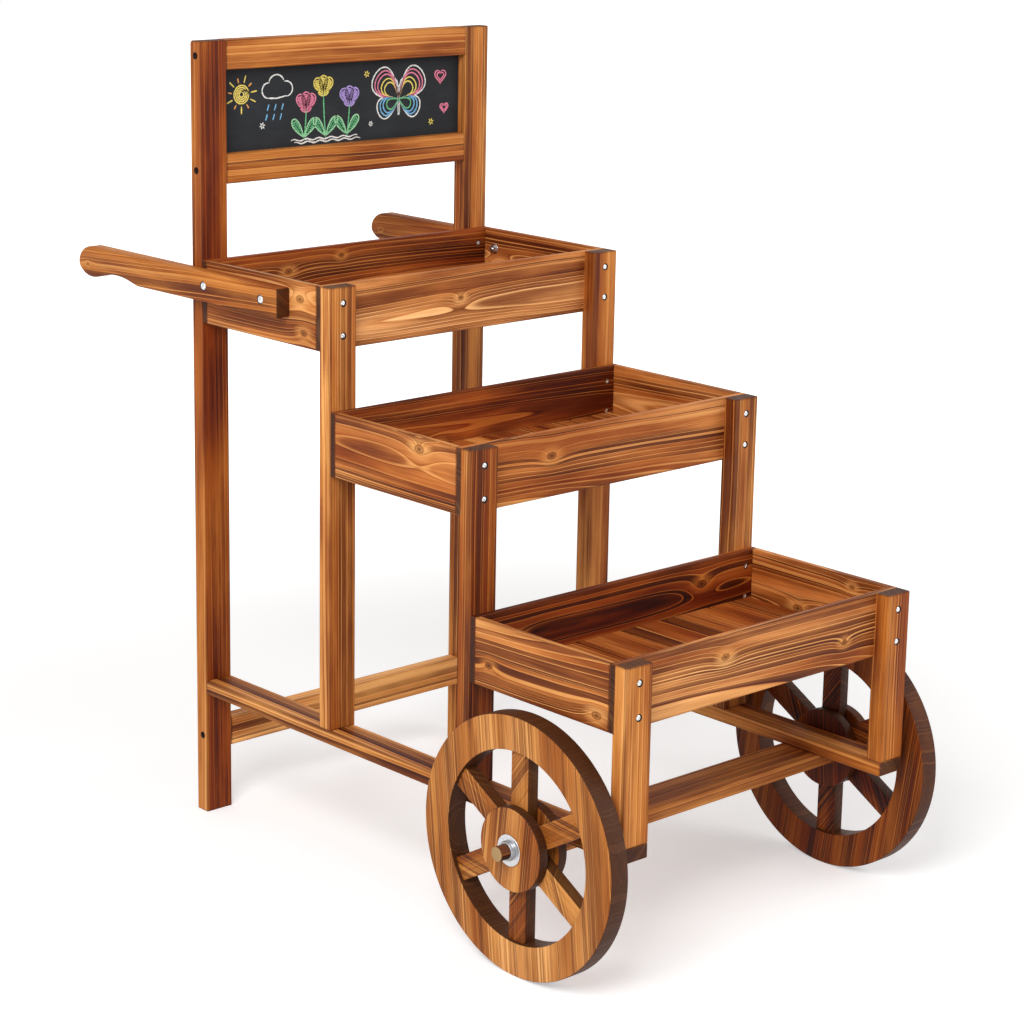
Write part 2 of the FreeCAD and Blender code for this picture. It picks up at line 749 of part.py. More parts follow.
group("axle_washers", on_axle(washer, BEAM_END) + on_axle(washer, OUTER_WASHER))
group("axle_collars", on_axle(collar, f"({OUTER_WASHER} + washer_thick)"))

# ------------------------------------------------------------------------- fasteners

# Each screw stands along its own Z axis, its tip at -Z and the seat of its head at the origin.


def headed(label, head, head_height, shank, length, sides=HIDDEN):
    """A screw or bolt with a flat-sided head and a hexagonal shank."""
    body = new_body(label)
    for width, depth, corners, reverse in (
        (shank, length, HIDDEN, True),
        (head, head_height, sides, False),
    ):
        sketch = new_sketch(body, "XY_Plane")
        add_polygon(sketch, "0", "0", width, corners)
        doc.recompute()
        pad(body, sketch, depth, reverse)
    return body


def let_in(label, length):
    """A screw whose head is let in flush, out of sight."""
    return headed(label, "flush_head", "flush_height", "flush_shank", length)


INTO_BACK = FreeCAD.Rotation(X_AXIS, 90)
INTO_FRONT = FreeCAD.Rotation(X_AXIS, -90)
UPWARDS = FreeCAD.Rotation(X_AXIS, 180)

frame_screw = headed(
    "frame_screw", "frame_head", "frame_head_height", "frame_shank", "frame_screw_length", IN_SIGHT
)
group(
    "post_screws",
    [
        (
            frame_screw,
            (f"{'' if sign > 0 else '-'}({HALF} - frame_sink_depth)", f"post_face + {depth}", height),
            ALONG_X[side],
        )
        for side, sign in SIDES.items()
        for depth, height in (
            ("post_depth / 2", UPPER_SCREW),
            ("post_depth / 2", LOWER_SCREW),
            ("rail_thick / 2", BACK_SCREW),
        )
    ],
)

long_screw = let_in("long_screw", "long_screw")
group(
    "side_rail_screws",
    [
        (
            long_screw,
            (
                f"{POST_MIDDLE[side]} {sign} rail_screw_spread",
                "post_face + post_depth - flush_height",
                SIDE_SCREW,
            ),
            INTO_FRONT,
        )
        for side in SIDES
        for sign in "-+"
    ],
)
group(
    "leg_foot_screws",
    [
        (
            long_screw,
            (POST_MIDDLE[side], f"{LEG_FACE[tier]} + post_depth / 2", f"{BEAM_TOP} + flush_height"),
            UPWARDS,
        )
        for tier in TIERS
        for side in SIDES
    ],
)
beam_screw = let_in("beam_screw", "beam_screw")
group(
    "axle_beam_screws",
    [
        (
            beam_screw,
            (
                POST_MIDDLE[side],
                f"{AXLE_Y} {sign} beam_screw_spread",
                f"{BEAM_BASE} + flush_height",
            ),
            UPWARDS,
        )
        for side in SIDES
        for sign in "-+"
    ],
)
leg_screw = headed(
    "leg_screw", "leg_head", "leg_head_height", "leg_shank", "leg_screw_length", IN_SIGHT
)
group(
    "leg_screws",
    [
        (
            leg_screw,
            (POST_MIDDLE[side], f"{LEG_FACE[tier]} + leg_head_height", f"{RIM[tier]} - board_depth + {row}"),
            INTO_BACK,
        )
        for tier in TIERS
        for side in SIDES
        for row in BOARD_SCREWS
    ],
)
board_screw = let_in("board_screw", "short_screw")
group(
    "back_board_screws",
    [
        (
            board_screw,
            (
                POST_MIDDLE[side],
                f"{BOX_BACK[tier]} - board_thick + flush_height",
                f"{RIM[tier]} - board_depth + {row}",
            ),
            INTO_BACK,
        )
        for tier in TIERS
        for side in SIDES
        for row in BOARD_SCREWS
    ],
)

handle_bolt = headed(
    "handle_bolt", "bolt_head", "bolt_head_height", "bolt_dia", "bolt_length", IN_SIGHT
)


def ring(label, outside, sides, bore, height):
    """A flat-sided washer or nut along +Z, with a hexagonal bore."""
    body = new_body(label)
    sketch = new_sketch(body, "XY_Plane")
    add_polygon(sketch, "0", "0", outside, sides)
    add_polygon(sketch, "0", "0", bore, HIDDEN)
    doc.recompute()
    pad(body, sketch, height)
    return body


bolt_washer = ring("bolt_washer", "bolt_washer_dia", 2 * HIDDEN, "bolt_dia", "bolt_washer_thick")
nut = ring("nut", "nut_width / cos(30 deg)", HIDDEN, "bolt_dia", "nut_height")


def handle_row(source, reach, turns):
    """Four copies of a handle fastener, reach from the cart's middle."""
    copies = []
    for side, sign in SIDES.items():
        outward = "" if sign > 0 else "-"
        for bolt in ("bolt_near", "bolt_far"):
            at = (f"{outward}({reach})", f"post_face - {bolt}", "handle_base + bolt_rise")
            copies.append((source, at, turns[side]))
    return copies


INSIDE_FACE = f"{HALF} - board_thick"
INWARDS = {"left": ALONG_X["right"], "right": ALONG_X["left"]}
group("handle_bolts", handle_row(handle_bolt, f"{HALF} + handle_thick - bolt_sink_depth", ALONG_X))
group("handle_washers", handle_row(bolt_washer, INSIDE_FACE, INWARDS))
group("handle_nuts", handle_row(nut, f"{INSIDE_FACE} - bolt_washer_thick", INWARDS))

# ---------------------------------------------------------------------- test and write

doc.recompute()
for item in doc.Objects:
    if "Invalid" in item.State or "Error" in item.State:
        raise RuntimeError(f"{item.Label} failed: {item.State}")
for node in nodes:
    if node.Shape.isNull() or not node.Shape.isValid():
        raise RuntimeError(f"{node.Label} has no valid shape")

os.makedirs("parts", exist_ok=True)
for node in nodes:
    node.Shape.exportStep(f"parts/{node.Label}.step")
print(f"{len(nodes)} nodes, {sum(len(node.Shape.Solids) for node in nodes)} solids")
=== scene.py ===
"""Looks of the flower cart stand: scorched softwood, a chalked board, zinc screws and wooden wheels.

Everything is in metres in the row frame: X across the cart, Y from the wheels to the handles,
Z up, with the origin on the floor.
"""

import logging
import math
import random
from collections.abc import Sequence
from dataclasses import dataclass, field
from enum import Enum
from typing import ClassVar

import bmesh
import bpy
from mathutils import Matrix, Vector


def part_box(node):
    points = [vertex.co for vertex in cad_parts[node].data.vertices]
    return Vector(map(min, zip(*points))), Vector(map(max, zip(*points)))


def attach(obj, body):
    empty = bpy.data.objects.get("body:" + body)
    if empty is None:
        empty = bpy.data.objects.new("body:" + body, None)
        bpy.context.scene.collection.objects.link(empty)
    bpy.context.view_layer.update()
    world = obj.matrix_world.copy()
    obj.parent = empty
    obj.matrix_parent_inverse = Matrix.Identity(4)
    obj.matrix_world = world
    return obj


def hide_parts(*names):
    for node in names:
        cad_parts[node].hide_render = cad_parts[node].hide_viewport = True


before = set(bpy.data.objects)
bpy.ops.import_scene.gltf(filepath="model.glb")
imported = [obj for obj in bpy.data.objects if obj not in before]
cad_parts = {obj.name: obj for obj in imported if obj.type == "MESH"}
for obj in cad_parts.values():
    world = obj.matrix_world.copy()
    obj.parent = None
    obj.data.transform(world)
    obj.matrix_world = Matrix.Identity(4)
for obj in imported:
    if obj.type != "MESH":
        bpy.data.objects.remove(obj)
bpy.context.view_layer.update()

logging.basicConfig(level=logging.INFO, format="%(message)s")
LOG = logging.getLogger("flower_cart_stand")

MM = 0.001
POST_FACE = 0.3095
TIER_PITCH = 0.290
RIMS = {"top": 0.832, "middle": 0.662, "bottom": 0.442}
LEG_X = 0.2475
AXLE = Vector((0.0, -0.4125, 0.175))
SIDES = {"left": -1, "right": 1}
HANDLE_BOLTS = (0.034, 0.166)

# kinds of node
MATH = "ShaderNodeMath"
VECTOR_MATH = "ShaderNodeVectorMath"
SPLIT = "ShaderNodeSeparateXYZ"
JOIN = "ShaderNodeCombineXYZ"
TURN = "ShaderNodeVectorRotate"
RANGE = "ShaderNodeMapRange"
MIX = "ShaderNodeMix"
NOISE = "ShaderNodeTexNoise"
CHANCE = "ShaderNodeTexWhiteNoise"
PLACE = "ShaderNodeTexCoord"
LIGHT_PATH = "ShaderNodeLightPath"
BUMP = "ShaderNodeBump"
SHADER = "ShaderNodeBsdfPrincipled"
SURFACE = "ShaderNodeOutputMaterial"

# their settings
PLUS = {"operation": "ADD"}
LESS = {"operation": "SUBTRACT"}
TIMES = {"operation": "MULTIPLY"}
OVER = {"operation": "DIVIDE"}
POWER = {"operation": "POWER"}
ROOT = {"operation": "SQRT"}
LOWER = {"operation": "MINIMUM"}
HIGHER = {"operation": "MAXIMUM"}
ABOVE = {"operation": "GREATER_THAN"}
WHOLE = {"operation": "FLOOR"}
FRACTION = {"operation": "FRACT"}
UNSIGNED = {"operation": "ABSOLUTE"}
EASED = {"interpolation_type": "SMOOTHSTEP"}
ABOUT_X = {"rotation_type": "X_AXIS"}
BLEND = {"data_type": "RGBA", "blend_type": "MIX"}

Outline = list[tuple[float, float]]
Spots = list[tuple[Vector, tuple[float, float, float]]]


def linear(hex_colour: str) -> tuple[float, float, float, float]:
    """Turns an sRGB hex colour into the linear values that the shader takes.

    Args:
        hex_colour: six hex digits after a hash.

    Returns:
        Red, green, blue and an alpha of 1.
    """
    parts = [int(hex_colour[i : i + 2], 16) / 255 for i in (1, 3, 5)]
    curved = [c / 12.92 if c <= 0.04045 else ((c + 0.055) / 1.055) ** 2.4 for c in parts]
    return (curved[0], curved[1], curved[2], 1.0)


def add(
    tree: bpy.types.NodeTree, kind: str, settings: dict | None = None, *values: object, **named: object
) -> bpy.types.Node:
    """Adds a node to a tree, sets it up and links it.

    Args:
        tree: the node tree.
        kind: the node's type name.
        settings: its properties by name.
        values: the inputs that its settings leave in use, in order. A node stands for its first
            output in use, a socket for itself, None leaves an input alone, and anything else is
            a plain value.
        named: inputs by name, with underscores for the spaces in a name.

    Returns:
        The new node.
    """
    node = tree.nodes.new(kind)
    for name, value in (settings or {}).items():
        setattr(node, name, value)
    pairs = list(zip([socket for socket in node.inputs if socket.enabled], values))
    pairs += [(node.inputs[name.replace("_", " ")], value) for name, value in named.items()]
    for socket, value in pairs:
        if value is None:
            continue
        if isinstance(value, bpy.types.Node):
            value = next(output for output in value.outputs if output.enabled)
        if isinstance(value, bpy.types.NodeSocket):
            tree.links.new(value, socket)
        else:
            socket.default_value = value
    return node


def new_finish(name: str) -> tuple[bpy.types.Material, bpy.types.NodeTree]:
    """Makes a material with an empty node tree.

    Args:
        name: the material's name.

    Returns:
        The material and its tree.
    """
    made = bpy.data.materials.new(name)
    made.use_nodes = True
    made.node_tree.nodes.clear()
    return made, made.node_tree


def new_object(name: str, mesh: bpy.types.Mesh) -> bpy.types.Object:
    """Puts a mesh into the scene at the origin."""
    piece = bpy.data.objects.new(name, mesh)
    bpy.context.scene.collection.objects.link(piece)
    return piece


def smooth(mesh: bpy.types.Mesh, angle: float = 35.0) -> None:
    """Shades a mesh smooth but keeps the edges that turn by more than an angle in degrees."""
    mesh.shade_smooth()
    mesh.set_sharp_from_angle(angle=math.radians(angle))


def to_mesh(shape: bmesh.types.BMesh, name: str) -> bpy.types.Mesh:
    """Turns a finished shape into a mesh and frees the shape."""
    mesh = bpy.data.meshes.new(name)
    shape.to_mesh(mesh)
    shape.free()
    return mesh


def evaluated(piece: bpy.types.Object) -> bpy.types.Mesh:
    """A plain mesh of a piece as its modifiers leave it."""
    bpy.context.view_layer.update()
    graph = bpy.context.evaluated_depsgraph_get()
    return bpy.data.meshes.new_from_object(piece.evaluated_get(graph), depsgraph=graph)


# ------------------------------------------------------------------------------ finishes


class Grain(Enum):
    """The axis that a board's fibres run along, with the axes that cross it."""

    ALONG_X = (0, 2, 1)
    ALONG_Y = (1, 2, 0)
    ALONG_Z = (2, 0, 1)


@dataclass(frozen=True)
class Stain:
    """Colours of scorched and oiled softwood, as sRGB hex.

    The scorch browns the soft early wood of each ring and leaves the hard late wood as a light
    line, so the eye sees bright lines with brown bands between them.
    """

    line: str = "#E89A4E"
    pale: str = "#D08138"
    middle: str = "#A0501A"
    dark: str = "#5C2708"
    end: str = "#2C1407"
    roughness: float = 0.50


@dataclass(frozen=True)
class Cut:
    """How a board was sawn from its log and scorched, which gives its pattern.

    Args:
        heart: where the log's centre lies from the board's middle, over the two cross axes.
        lean: how the log's centre drifts over the board's length, in metres per metre.
        ring: width of one year's ring.
        waver: how far the rings wander.
        knots: each knot's place across and along the board, and its size.
        scorch: how much of the board the flame browned, from 0 to 1.
        tone: lightens the board above 1 and darkens it below.
        front: the same for the faces that look forwards or back, which the flame met head on.
        streak: contrast of the fibres' streaks.
    """

    heart: tuple[float, float] = (0.0, 0.05)
    lean: tuple[float, float] = (0.0, 0.0)
    ring: float = 0.0055
    waver: float = 0.004
    knots: tuple[tuple[float, float, float], ...] = ()
    scorch: float = 0.5
    tone: float = 1.0
    front: float = 1.0
    streak: float = 0.95


@dataclass(frozen=True)
class Cloudiness:
    """A soft random pattern in the wood, longer along the fibres than across them.

    Args:
        across: how many waves come to a metre across the board.
        along: the same along it.
        detail: how many finer patterns lie in it.
        rough: how strong those are.
    """

    across: float
    along: float
    detail: float
    rough: float


class Softwood:
    """Fir, planed, scorched with a flame, brushed and oiled: rings, fibres, knots and end grain.

    One node group holds the pattern. Each board gets its own material, so that no two boards
    show the same part of a log.
    """

    INPUTS: ClassVar[dict[str, str]] = {
        "Across": "NodeSocketVector",
        "Ends": "NodeSocketFloat",
        "Arris": "NodeSocketFloat",
        "Heart": "NodeSocketVector",
        "Lean": "NodeSocketVector",
        "Ring": "NodeSocketFloat",
        "Waver": "NodeSocketFloat",
        "Scorch": "NodeSocketFloat",
        "Tone": "NodeSocketFloat",
        "Streak": "NodeSocketFloat",
        "Seed": "NodeSocketFloat",
        "Line": "NodeSocketColor",
        "Pale": "NodeSocketColor",
        "Middle": "NodeSocketColor",
        "Dark": "NodeSocketColor",
        "End": "NodeSocketColor",
    }
    OUTPUTS: ClassVar[dict[str, str]] = {
        "Colour": "NodeSocketColor",
        "Gloss": "NodeSocketFloat",
        "Relief": "NodeSocketFloat",
    }
    # the rings' wandering, the flame's patches of 30 by 200 mm, light and dark stretches of 45 by
    # 500 mm, and fibres 2 and 0.7 mm wide, which is about twice as coarse as real ones
    PATTERNS: ClassVar[dict[str, Cloudiness]] = {
        "drift": Cloudiness(13.0, 3.2, 1.0, 0.4),
        "flame": Cloudiness(33.0, 5.0, 3.0, 0.5),
        "broad": Cloudiness(22.0, 2.0, 1.0, 0.4),
        "coarse": Cloudiness(480.0, 6.0, 3.0, 0.6),
        "fine": Cloudiness(1500.0, 26.0, 2.0, 0.5),
    }
    KNOTS = 3
    KNOT_STRETCH = 0.62
    KNOT_PUSH = 2.8
    KNOT_FALL = -0.50
    KNOT_RINGS = 2.6
    KNOT_COLOURS = ("#8A4A20", "#B9702F", "#5A2A12")
    KNOT_HEART = "#2E150A"
    NO_KNOT = 0.0002
    YEARS_PER_METRE = 85.0
    UNEVEN_YEARS = 3.4
    DARKEST = 0.16

    def __init__(self) -> None:
        """Builds the node group."""
        self.group = bpy.data.node_groups.new("scorched_fir_pattern", "ShaderNodeTree")
        face = self.group.interface
        knots = {f"Knot {number}": "NodeSocketVector" for number in range(1, self.KNOTS + 1)}
        for name, kind in (self.INPUTS | knots).items():
            face.new_socket(name, in_out="INPUT", socket_type=kind)
        for name, kind in self.OUTPUTS.items():
            face.new_socket(name, in_out="OUTPUT", socket_type=kind)
        self.given = add(self.group, "NodeGroupInput").outputs
        self.point = add(self.group, SPLIT, None, self.given["Across"]).outputs
        seed = self.given["Seed"]
        shift = add(self.group, JOIN, None, seed, seed, seed)
        seeded = add(self.group, VECTOR_MATH, PLUS, self.given["Across"], shift)
        self.clouds: dict[str, bpy.types.Node] = {}
        for name, pattern in self.PATTERNS.items():
            waves = (pattern.across, pattern.across, pattern.along)
            spread = add(self.group, VECTOR_MATH, TIMES, seeded, waves)
            self.clouds[name] = add(
                self.group, NOISE, None, spread, Scale=1.0, Detail=pattern.detail, Roughness=pattern.rough
            )
        drift = add(self.group, "ShaderNodeSeparateColor", None, self.clouds["drift"].outputs["Color"])
        self.drift = [add(self.group, MATH, LESS, part, 0.5) for part in drift.outputs]
        self._compose()

    def _compose(self) -> None:
        """Puts the group together: a point of the board goes in, colour, gloss and relief come out."""
        tree, given = self.group, self.given
        coarse, fine = self.clouds["coarse"], self.clouds["fine"]
        radius, mask, knot_rings, halo = self._knots(self._radius())
        part, luck = self._years(radius)
        line = self._line(part, luck)
        base = self._scorched(part, luck)
        base = add(tree, MIX, BLEND, add(tree, MATH, TIMES, halo, 0.5), base, given["Line"])
        base = add(tree, MIX, BLEND, add(tree, MATH, TIMES, line, 0.95), base, given["Line"])
        knotty = self._knot_colour(knot_rings)
        base = add(tree, MIX, BLEND, add(tree, MATH, TIMES, mask, 0.85), base, knotty)
        toned = self._toned(base, part)

        # end grain takes the flame deeply and shows dark, with specks of light late wood
        speck = add(tree, MATH, PLUS, add(tree, MATH, TIMES, fine, 0.75), add(tree, MATH, TIMES, line, 0.10))
        share = add(tree, RANGE, None, speck, 0.35, 0.85, 0.0, 0.55)
        end_colour = add(tree, MIX, BLEND, share, given["End"], given["Middle"])
        coloured = add(tree, MIX, BLEND, given["Ends"], toned, end_colour)

        # the flame catches an arris first, so it is browner there, unevenly
        singed = add(tree, RANGE, None, self.clouds["flame"], 0.35, 0.65, 0.15, 0.75)
        singed = add(tree, MATH, TIMES, singed, given["Arris"])
        coloured = add(tree, MIX, BLEND, singed, coloured, given["Dark"])

        # late wood is smoother and stands up, and fibres and knots roughen the face
        dry = add(tree, MATH, TIMES, coarse, 0.16)
        gloss = add(tree, MATH, PLUS, dry, add(tree, MATH, TIMES, line, -0.10))
        relief = add(tree, MATH, TIMES, mask, -0.25)
        for item, height in ((line, 0.5), (coarse, 0.45), (fine, 0.25)):
            relief = add(tree, MATH, PLUS, relief, add(tree, MATH, TIMES, item, height))
        add(tree, "NodeGroupOutput", None, coloured, gloss, relief)

    def _radius(self) -> bpy.types.Node:
        """How far a point lies from the log's wandering centre, which is across the rings."""
        tree, given, point = self.group, self.given, self.point
        heart = add(tree, SPLIT, None, given["Heart"]).outputs
        lean = add(tree, SPLIT, None, given["Lean"]).outputs
        squares = []
        for axis in (0, 1):
            leaning = add(tree, MATH, TIMES, point[2], lean[axis])
            moved = add(tree, MATH, PLUS, add(tree, MATH, LESS, point[axis], heart[axis]), leaning)
            swing = add(tree, MATH, TIMES, add(tree, MATH, TIMES, self.drift[axis], given["Waver"]), 4.0)
            squares.append(add(tree, MATH, POWER, add(tree, MATH, PLUS, moved, swing), 2.0))
        return add(tree, MATH, ROOT, add(tree, MATH, PLUS, *squares))

    def _knots(self, radius: bpy.types.Node) -> tuple[bpy.types.Node, ...]:
        """Lets each knot push the rings round itself.

        Args:
            radius: the distance across the rings without knots.

        Returns:
            The distance with them, a mask of the knots, the distance in them, and the halo round
            them.
        """
        tree, point = self.group, self.point
        wobble = add(tree, MATH, TIMES, self.drift[2], 0.004)
        masks, rings, halos = [], [], []
        for number in range(1, self.KNOTS + 1):
            knot = add(tree, SPLIT, None, self.given[f"Knot {number}"]).outputs
            side = add(tree, MATH, PLUS, add(tree, MATH, LESS, point[0], knot[0]), wobble)
            along = add(tree, MATH, TIMES, add(tree, MATH, LESS, point[2], knot[1]), self.KNOT_STRETCH)
            squares = [add(tree, MATH, POWER, item, 2.0) for item in (side, along)]
            reach = add(tree, MATH, ROOT, add(tree, MATH, PLUS, *squares))
            share = add(tree, MATH, OVER, reach, add(tree, MATH, HIGHER, knot[2], self.NO_KNOT / 2))
            fall = add(tree, MATH, {"operation": "EXPONENT"}, add(tree, MATH, TIMES, share, self.KNOT_FALL))
            push = add(tree, MATH, TIMES, fall, add(tree, MATH, TIMES, knot[2], self.KNOT_PUSH))
            radius = add(tree, MATH, PLUS, radius, push)
            there = add(tree, MATH, ABOVE, knot[2], self.NO_KNOT)
            inside = add(tree, RANGE, EASED, share, 0.75, 1.15, 1.0, 0.0)
            masks.append(add(tree, MATH, TIMES, inside, there))
            around = add(tree, RANGE, EASED, share, 1.0, 3.2, 1.0, 0.0)
            halos.append(add(tree, MATH, TIMES, around, there))
            rings.append(add(tree, MATH, TIMES, share, masks[-1]))
        joined = []
        for items, how in ((masks, HIGHER), (rings, PLUS), (halos, HIGHER)):
            total = items[0]
            for item in items[1:]:
                total = add(tree, MATH, how, total, item)
            joined.append(total)
        return (radius, *joined)

    def _years(self, radius: bpy.types.Node) -> tuple[bpy.types.Node, bpy.types.Node]:
        """Counts the years, some wide and some narrow.

        Args:
            radius: the distance across the rings.

        Returns:
            How far a point lies through its year, and that year's luck.
        """
        tree, seed = self.group, self.given["Seed"]
        spread = add(tree, MATH, PLUS, add(tree, MATH, TIMES, radius, self.YEARS_PER_METRE), seed)
        years = add(tree, NOISE, {"noise_dimensions": "1D"}, spread, Scale=1.0, Detail=1.0)
        uneven = add(tree, MATH, TIMES, add(tree, MATH, LESS, years, 0.5), self.UNEVEN_YEARS)
        phase = add(tree, MATH, PLUS, add(tree, MATH, OVER, radius, self.given["Ring"]), uneven)
        year = add(tree, MATH, WHOLE, phase)
        luck = add(tree, CHANCE, {"noise_dimensions": "2D"}, add(tree, JOIN, None, year, seed, 0.0))
        return add(tree, MATH, FRACTION, phase), luck

    def _line(self, part: bpy.types.Node, luck: bpy.types.Node) -> bpy.types.Node:
        """The light line of late wood that ends a year, soft on its inner side."""
        tree = self.group
        rise = add(tree, RANGE, EASED, part, 0.70, 0.93, 0.0, 1.0)
        close = add(tree, RANGE, EASED, part, 0.955, 1.0, 1.0, 0.0)
        strength = add(tree, RANGE, None, luck, 0.0, 1.0, 0.45, 1.0)
        return add(tree, MATH, TIMES, add(tree, MATH, TIMES, rise, close), strength)

    def _scorched(self, part: bpy.types.Node, luck: bpy.types.Node) -> bpy.types.Node:
        """The wood's colour between the lines: pale, middle, and dark where the flame lingered."""
        tree, given = self.group, self.given
        flame = self.clouds["flame"]
        clamped = {"use_clamp": True}
        darkened = add(tree, MATH, PLUS, add(tree, MATH, TIMES, luck, 0.55), add(tree, MATH, TIMES, flame, 0.75))
        darkened = add(tree, MATH, LESS | clamped, darkened, add(tree, MATH, LESS, 1.02, given["Scorch"]))
        darkened = add(tree, MATH, TIMES | clamped, darkened, 2.6)
        darkened = add(tree, MATH, TIMES, darkened, add(tree, RANGE, None, part, 0.0, 1.0, 1.0, 0.60))
        patches = add(tree, RANGE, None, flame, 0.35, 0.65, 0.0, 1.0)
        base = add(tree, MIX, BLEND, patches, given["Pale"], given["Middle"])
        return add(tree, MIX, BLEND, darkened, base, given["Dark"])

    def _knot_colour(self, rings: bpy.types.Node) -> bpy.types.Node:
        """A knot's own narrow rings round a dark heart."""
        tree = self.group
        first, second, third = (linear(colour) for colour in self.KNOT_COLOURS)
        phase = add(tree, MATH, FRACTION, add(tree, MATH, TIMES, rings, self.KNOT_RINGS))
        colour = add(tree, MIX, BLEND, add(tree, RANGE, None, phase, 0.0, 0.5, 0.0, 1.0), first, second)
        colour = add(tree, MIX, BLEND, add(tree, RANGE, None, phase, 0.5, 1.0, 0.0, 1.0), colour, third)
        core = add(tree, RANGE, EASED, rings, 0.15, 0.40, 0.9, 0.0)
        return add(tree, MIX, BLEND, core, colour, linear(self.KNOT_HEART))

    def _toned(self, base: bpy.types.Node, part: bpy.types.Node) -> bpy.types.Node:
        """Lightens and darkens the colour by streaks, hairs, broad stretches and the board's tone.

        Args:
            base: the colour.
            part: how far a point lies through its year.

        Returns:
            The colour. A darker patch of scorched wood is also redder, so half of the change is
            a gamma.
        """
        tree = self.group
        swing = add(tree, MATH, LESS, self.clouds["coarse"], 0.5)
        streak = add(tree, MATH, TIMES, swing, self.given["Streak"])
        level = add(tree, MATH, TIMES, add(tree, MATH, PLUS, streak, 0.98), self.given["Tone"])
        ebb = add(tree, RANGE, EASED, part, 0.0, 0.16, 0.66, 1.0)
        hair = add(tree, RANGE, None, self.clouds["fine"], 0.25, 0.75, 0.84, 1.12)
        stretch = add(tree, RANGE, None, self.clouds["broad"], 0.32, 0.68, 0.58, 1.38)
        for factor in (ebb, hair, stretch):
            level = add(tree, MATH, TIMES, level, factor)
        level = add(tree, MATH, ROOT, add(tree, MATH, HIGHER, level, self.DARKEST))
        toned = add(tree, "ShaderNodeGamma", None, base, add(tree, MATH, OVER, 1.0, level))
        return add(tree, VECTOR_MATH, {"operation": "SCALE"}, toned, level)

    def material(
        self,
        name: str,
        low: Vector,
        high: Vector,
        grain: Grain,
        cut: Cut,
        stain: Stain,
        arris: bool = True,
        turn: float = 0.0,
    ) -> bpy.types.Material:
        """Makes the material of one board.

        Args:
            name: what the board is called.
            low: the board's lowest corner.
            high: its highest corner.
            grain: the axis of its fibres.
            cut: how it was sawn.
            stain: its colours.
            arris: whether its box's edges are worn.
            turn: turns the fibres about X, in degrees, for a leaning strip.

        Returns:
            The material.
        """
        made, tree = new_finish(f"scorched_fir_{name}")
        where = add(tree, PLACE).outputs
        offset = add(tree, VECTOR_MATH, LESS, where["Object"], tuple((low + high) / 2))
        facing = where["Normal"]
        if turn:
            offset = add(tree, TURN, ABOUT_X, offset, Angle=math.radians(turn))
            facing = add(tree, TURN, ABOUT_X, facing, Angle=math.radians(turn))
        parts = add(tree, SPLIT, None, offset).outputs
        along, first, second = grain.value
        sawn_across = add(tree, MATH, UNSIGNED, add(tree, SPLIT, None, facing).outputs[along])
        head_on = add(tree, MATH, UNSIGNED, add(tree, SPLIT, None, where["Normal"]).outputs[1])
        knots = list(cut.knots) + [(0.0, 0.0, 0.0)] * (self.KNOTS - len(cut.knots))
        pattern = add(
            tree,
            "ShaderNodeGroup",
            {"node_tree": self.group},
            Across=add(tree, JOIN, None, parts[first], parts[second], parts[along]),
            Ends=add(tree, RANGE, EASED, sawn_across, 0.55, 0.85, 0.0, 0.92),
            Arris=self._worn(tree, parts, (high - low) / 2) if arris else 0.0,
            Heart=(*cut.heart, 0.0),
            Lean=(*cut.lean, 0.0),
            Ring=cut.ring,
            Waver=cut.waver,
            Scorch=cut.scorch,
            Tone=add(tree, RANGE, None, head_on, 0.3, 0.9, cut.tone, cut.tone * cut.front),
            Streak=cut.streak,
            Seed=random.Random(name).uniform(1.0, 60.0),
            Line=linear(stain.line),
            Pale=linear(stain.pale),
            Middle=linear(stain.middle),
            Dark=linear(stain.dark),
            End=linear(stain.end),
            **{f"Knot_{number}": knot for number, knot in enumerate(knots, 1)},
        )
        rough = add(tree, MATH, PLUS, pattern.outputs["Gloss"], stain.roughness)
        bump = add(tree, BUMP, None, Strength=0.55, Distance=0.6 * MM, Height=pattern.outputs["Relief"])
        shader = add(tree, SHADER, None, Base_Color=pattern.outputs["Colour"], Roughness=rough, Normal=bump)
        shader.inputs["Specular IOR Level"].default_value = 0.2
        add(tree, SURFACE, None, shader)
        return made

    def _worn(self, tree: bpy.types.NodeTree, parts: Sequence, half: Vector) -> bpy.types.Node:
        """How near a point lies to an edge of its board, where two gaps to faces are small.

        Args:
            tree: the board's material.
            parts: the point's place from the board's middle.
            half: half of the board's sizes.

        Returns:
            From 1 at an edge to 0 a few millimetres away.
        """
        gaps = [
            add(tree, MATH, LESS, size, add(tree, MATH, UNSIGNED, part)) for size, part in zip(half, parts)
        ]
        least = add(tree, MATH, LOWER, gaps[0], gaps[1])
        most = add(tree, MATH, HIGHER, gaps[0], gaps[1])
        second_least = add(tree, MATH, HIGHER, least, add(tree, MATH, LOWER, most, gaps[2]))
        return add(tree, RANGE, EASED, second_least, 0.3 * MM, 3.6 * MM, 1.0, 0.0)


